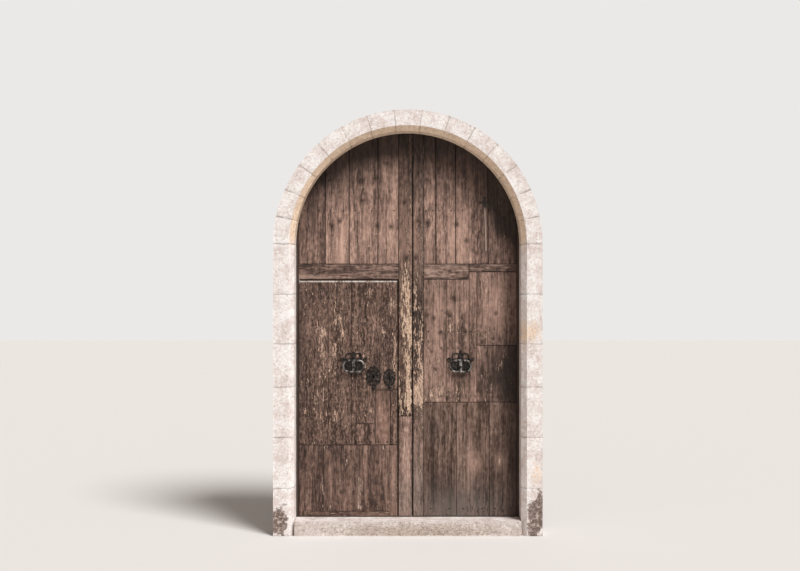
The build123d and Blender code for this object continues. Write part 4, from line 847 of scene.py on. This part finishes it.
# Stone surround
def sweptShape(stone, place, weather):
    # A dressed stone: its section carried along its length, worn back where it shows
    corners = stone["corners"]
    flat, normal, wear, nearCorner, part = [], [], [], [], []
    for k, (a, b) in enumerate(zip(corners, corners[1:] + corners[:1])):
        a, b = np.array(a, float), np.array(b, float)
        length = np.linalg.norm(b - a)
        count = max(1, math.ceil(length / stone["steps"][k]))
        out = np.array([(b - a)[1], -(b - a)[0]]) / length
        for j in range(count):
            flat.append(a + (b - a) * j / count)
            normal.append(out)
            wear.append(min(stone["wears"][k], stone["wears"][k - 1 if j == 0 else k]))
            nearCorner.append(min(j, count - j) / count * length)
            part.append(k)
    flat, normal, wear, nearCorner = np.array(flat), np.array(normal), np.array(wear), np.array(nearCorner)
    levels = gridLines(stone["from"], stone["to"], stone["step"])
    count, many = len(levels), len(flat)
    level = np.repeat(levels[:, None], many, 1)
    a, b = np.repeat(flat[None, :, 0], count, 0), np.repeat(flat[None, :, 1], count, 0)
    along = np.cumsum(np.r_[0, np.linalg.norm(np.diff(flat, axis=0), axis=1)])[None, :] + level * 0
    seed = stone["seed"]
    toJoint = np.minimum(level - stone["from"], stone["to"] - level)
    # Tool marks and pits, worn joints, and chips along the corners
    hollow = 0.9 + 0.9 * layered(along / 26, level / 26, seed)
    hollow += 0.7 * np.clip(layered(along / 9, level / 9, seed + 1), 0, 1)
    hollow += 3.0 * np.exp(-toJoint / 4.0) * (0.8 + 0.5 * lattice(along / 20, level / 20, seed + 2))
    chip = np.clip(layered(level / 38, along / 55, seed + 3) - 0.15, 0, 1)
    hollow += stone["chips"] * chip * fade(nearCorner[None, :], 9)
    hollow = np.clip(hollow, 0, stone["deepest"]) * wear[None, :]
    points = place(a - normal[None, :, 0] * hollow, b - normal[None, :, 1] * hollow, level).reshape(-1, 3)
    faces = []
    for i in range(count - 1):
        for j in range(many):
            beside = (j + 1) % many
            faces.append([i * many + j, i * many + beside, (i + 1) * many + beside, (i + 1) * many + j])
    faces.append(list(range(many - 1, -1, -1)))
    faces.append([(count - 1) * many + j for j in range(many)])
    if stone.get("mirrored"):
        faces = [face[::-1] for face in faces]
    bareness, dampness = weather(*points.T, np.tile(np.array(part), count))
    seam = 0.8 * np.exp(-toJoint / 3.2) * np.clip(0.45 + 0.9 * lattice(along / 45, level * 0 + seed, seed + 4), 0, 1)
    return points, faces, {"bareness": bareness, "dampness": dampness, "seamDirt": seam.ravel()}


surroundLook = {
    # front face, outer side, back, rebate, step, reveal, chamfered arris
    "corners": [(910, -120), (1030, -120), (1030, 120), (920, 120), (920, 55.5), (870, 55.5), (870, -80)],
    "steps": (9, 40, 40, 40, 25, 9, 7), "wears": (1, 0, 0, 0, 0, 1, 1), "step": 9, "deepest": 9,
    "courses": (0, 363, 752, 1138, 1467, 1849, 2232), "jambChips": 3.5,
    # the arch: stones, their chips, and the radius at which lengths along it are taken
    "stones": 15, "archChips": 4.5, "reach": 950, "joint": 0.5,
    # spots on the jambs
    "bare": ((950, 1560, 90, 110, 0.55), (980, 480, 60, 120, 0.5), (-985, 1000, 40, 200, 0.15)),
    "damp": ((-990, 120, 85, 130, 1.1), (975, 120, 90, 170, 1.0), (1010, 300, 40, 120, 0.6)),
}


def surroundWeather(x, y, z, part):
    # The arris is bare warm stone round the arch and a little on the right; damp darkens the lowest courses
    arris, reveal, right = (part == 6).astype(float), (part == 5).astype(float), (x > 0).astype(float)
    arch = np.clip((z - 2150) / 250, 0, 1)
    bareness = arris * (0.1 + 1.0 * arch + 0.12 * right * (1 - arch)) + reveal * (0.2 + 0.6 * arch)
    for *where, amount in surroundLook["bare"]:
        bareness += patch(x, z, *where) * amount
    dampness = sum(patch(x, z, *where) * amount for *where, amount in surroundLook["damp"])
    dampness *= 1 - 0.75 * arris - 0.4 * reveal
    return np.clip(bareness, 0, 1.1), np.clip(dampness, 0, 1)


def jamb(side):
    def place(a, b, level):
        return np.stack([side * a, b, level], -1)

    stones = []
    for k, (low, high) in enumerate(zip(surroundLook["courses"], surroundLook["courses"][1:])):
        stone = {**surroundLook, "from": low, "to": high - surroundLook["joint"], "seed": 700 + k * 17 + side,
                 "chips": surroundLook["jambChips"], "mirrored": side < 0}
        stones.append(sweptShape(stone, place, surroundWeather))
    return stones


def arch(numbers):
    reach = surroundLook["reach"]
    pitch = math.pi / surroundLook["stones"] * reach

    def place(a, b, level):
        return np.stack([a * np.cos(level / reach), b, archSpring + a * np.sin(level / reach)], -1)

    stones = []
    for number in numbers:
        stone = {**surroundLook, "from": number * pitch, "to": (number + 1) * pitch - surroundLook["joint"],
                 "seed": 800 + number * 19, "chips": surroundLook["archChips"]}
        stones.append(sweptShape(stone, place, surroundWeather))
    return stones


for name, node, stones in (
        ("leftJambStones", "left_jamb_stones", jamb(-1)), ("rightJambStones", "right_jamb_stones", jamb(1)),
        ("rightArchStones", "right_voussoirs", arch(range(7))), ("archKeystone", "keystone", arch([7])),
        ("leftArchStones", "left_voussoirs", arch(range(8, 15)))):
    putTogether(name, "stone_frame", "limewash", stones, node)
print("surround made")

# Step
stepLook = {
    # underside, joint with the tail, tread, front
    "corners": [(-120, 0), (55.5, 0), (55.5, 110), (-120, 110)], "steps": (40, 30, 9, 8), "wears": (0, 0, 1, 1),
    "step": 9, "deepest": 13, "chips": 9, "seed": 905, "from": -869.7, "to": 869.7,
    # the tail behind the leaves, with a square socket cut in it for the foot bolt: its middle, half side and floor
    "tail": (-919.7, 919.7, 55.5, 180), "height": 110, "socket": (78, 131, 10.5, 57),
}


def stepWeather(x, y, z, part):
    # Tan stone shows low in the middle of the front, and where feet have hollowed the edge
    front = (part == 3).astype(float)
    bareness = front * (0.35 + 0.45 * patch(x, z, 60, 35, 520, 45)) + (1 - front) * 0.2
    dampness = front * 0.35 * patch(x, z, 300, 10, 500, 22)
    return np.clip(bareness, 0, 1), dampness


def alongStep(a, b, level):
    return np.stack([level, a, b], -1)


left, right, near, far = stepLook["tail"]
socketX, socketY, half, socketFloor = stepLook["socket"]
height = stepLook["height"]
outline = [(left, near), (right, near), (right, far), (left, far)]
mouth = [(socketX + a * half, socketY + b * half) for a, b in ((-1, -1), (1, -1), (1, 1), (-1, 1))]
rings = ((outline, height), (outline, 0), (mouth, height), (mouth, socketFloor))
tailPoints = np.array([(x, y, z) for ring, z in rings for x, y in ring], float)
tailFaces = [[4, 7, 6, 5], [12, 13, 14, 15]]
for k in range(4):
    after = (k + 1) % 4
    tailFaces += [[k, 4 + k, 4 + after, after], [k, after, 8 + after, 8 + k], [8 + k, 8 + after, 12 + after, 12 + k]]
blank = np.zeros(len(tailPoints))
tail = (tailPoints, tailFaces, {"bareness": blank + 0.3, "dampness": blank, "seamDirt": blank})
stepFront = sweptShape(stepLook, alongStep, stepWeather)
putTogether("thresholdStep", "stone_frame", "step", [stepFront, tail], "threshold_slab")
print("step made")

# Finishes of the pieces that keep their built shape
keptPieces = {
    "iron": ["leaf_pintles", "wicket_pintles", "left_leaf_straps", "right_leaf_straps", "wicket_straps",
             "head_bolt", "foot_bolt", "cross_bolt", "bolt_guides", "head_bolt_keeper", "left_leaf_keepers",
             "large_lock_case", "small_lock_case", "left_leaf_nails", "right_leaf_nails", "wicket_nails"],
    "wornIronWithSheen": ["left_knocker_ring", "right_knocker_ring", "large_lock_bolt", "small_lock_bolt"],
    "crossIron": ["iron_cross"],
    "ornamentIron": ["left_knocker_plate", "right_knocker_plate", "large_escutcheon", "small_escutcheon"],
    "uprightTimber": ["left_hanging_stile", "right_hanging_stile", "wicket_hinge_stile", "wicket_lock_stile"],
    "crossTimber": ["left_arch_rib", "right_arch_rib", "left_upper_ledge", "wicket_rails", "right_ledges"],
}
for finish, nodes in keptPieces.items():
    for node in nodes:
        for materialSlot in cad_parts[node].material_slots:
            materialSlot.material = finishes[finish]
print("kept pieces finished")

# Floor, light and camera, in metres
studio = {
    "floorHalf": 30, "floorDrop": 0.0005, "floorShade": "dad7d4", "backShade": "ebe9e7",
    "fillShade": "fff2e8", "fill": 0.3,
    "sun": 3.6, "sunSpread": 22, "towardsSun": (0.85, -1.0, 1.6), "camera": (-0.060, -8.61, 1.916), "lens": 50,
}
half = studio["floorHalf"]
floorMesh = bpy.data.meshes.new("studioFloor")
floorMesh.from_pydata([(-half, -half, 0), (half, -half, 0), (half, half, 0), (-half, half, 0)], [], [[0, 1, 2, 3]])
floor = addObject("studioFloor", floorMesh)
floor.location.z = -studio["floorDrop"]
paint = bpy.data.materials.new("paleFloorPaint")
add = partial(addNode, emptyTree(paint))
floorShade = linear(studio["floorShade"])
shader = add("BsdfPrincipled", {"Base Color": floorShade, "Roughness": 0.85, "Specular IOR Level": 0.1})
add("OutputMaterial", {}, {0: shader})
floorMesh.materials.append(paint)

sunData = bpy.data.lights.new("softSun", "SUN")
sunData.energy = studio["sun"]
sunData.angle = math.radians(studio["sunSpread"])
sun = addObject("softSun", sunData)
sun.rotation_euler = Vector(studio["towardsSun"]).to_track_quat("Z", "Y").to_euler()

# The camera, gloss and glass see the pale backdrop; the object is lit by a fainter fill
world = bpy.data.worlds.new("paleStudio")
bpy.context.scene.world = world
add = partial(addNode, emptyTree(world))
seen = add("LightPath", out="Is Camera Ray")
for ray in ("Is Glossy Ray", "Is Transmission Ray"):
    seen = add("Math MAXIMUM", {}, {0: seen, 1: add("LightPath", out=ray)})
back = add("Background", {"Color": linear(studio["backShade"]), "Strength": 1.0})
fill = add("Background", {"Color": linear(studio["fillShade"]), "Strength": studio["fill"]})
add("OutputWorld", {}, {0: add("MixShader", {}, {0: seen, 1: fill, 2: back})})

cameraData = bpy.data.cameras.new("photoCamera")
cameraData.lens = studio["lens"]
cameraData.sensor_width = 36
camera = addObject("photoCamera", cameraData)
camera.location = studio["camera"]
camera.rotation_euler = (math.radians(90), 0, 0)
bpy.context.scene.camera = camera
bpy.context.scene.view_settings.view_transform = "Standard"
print("studio made")
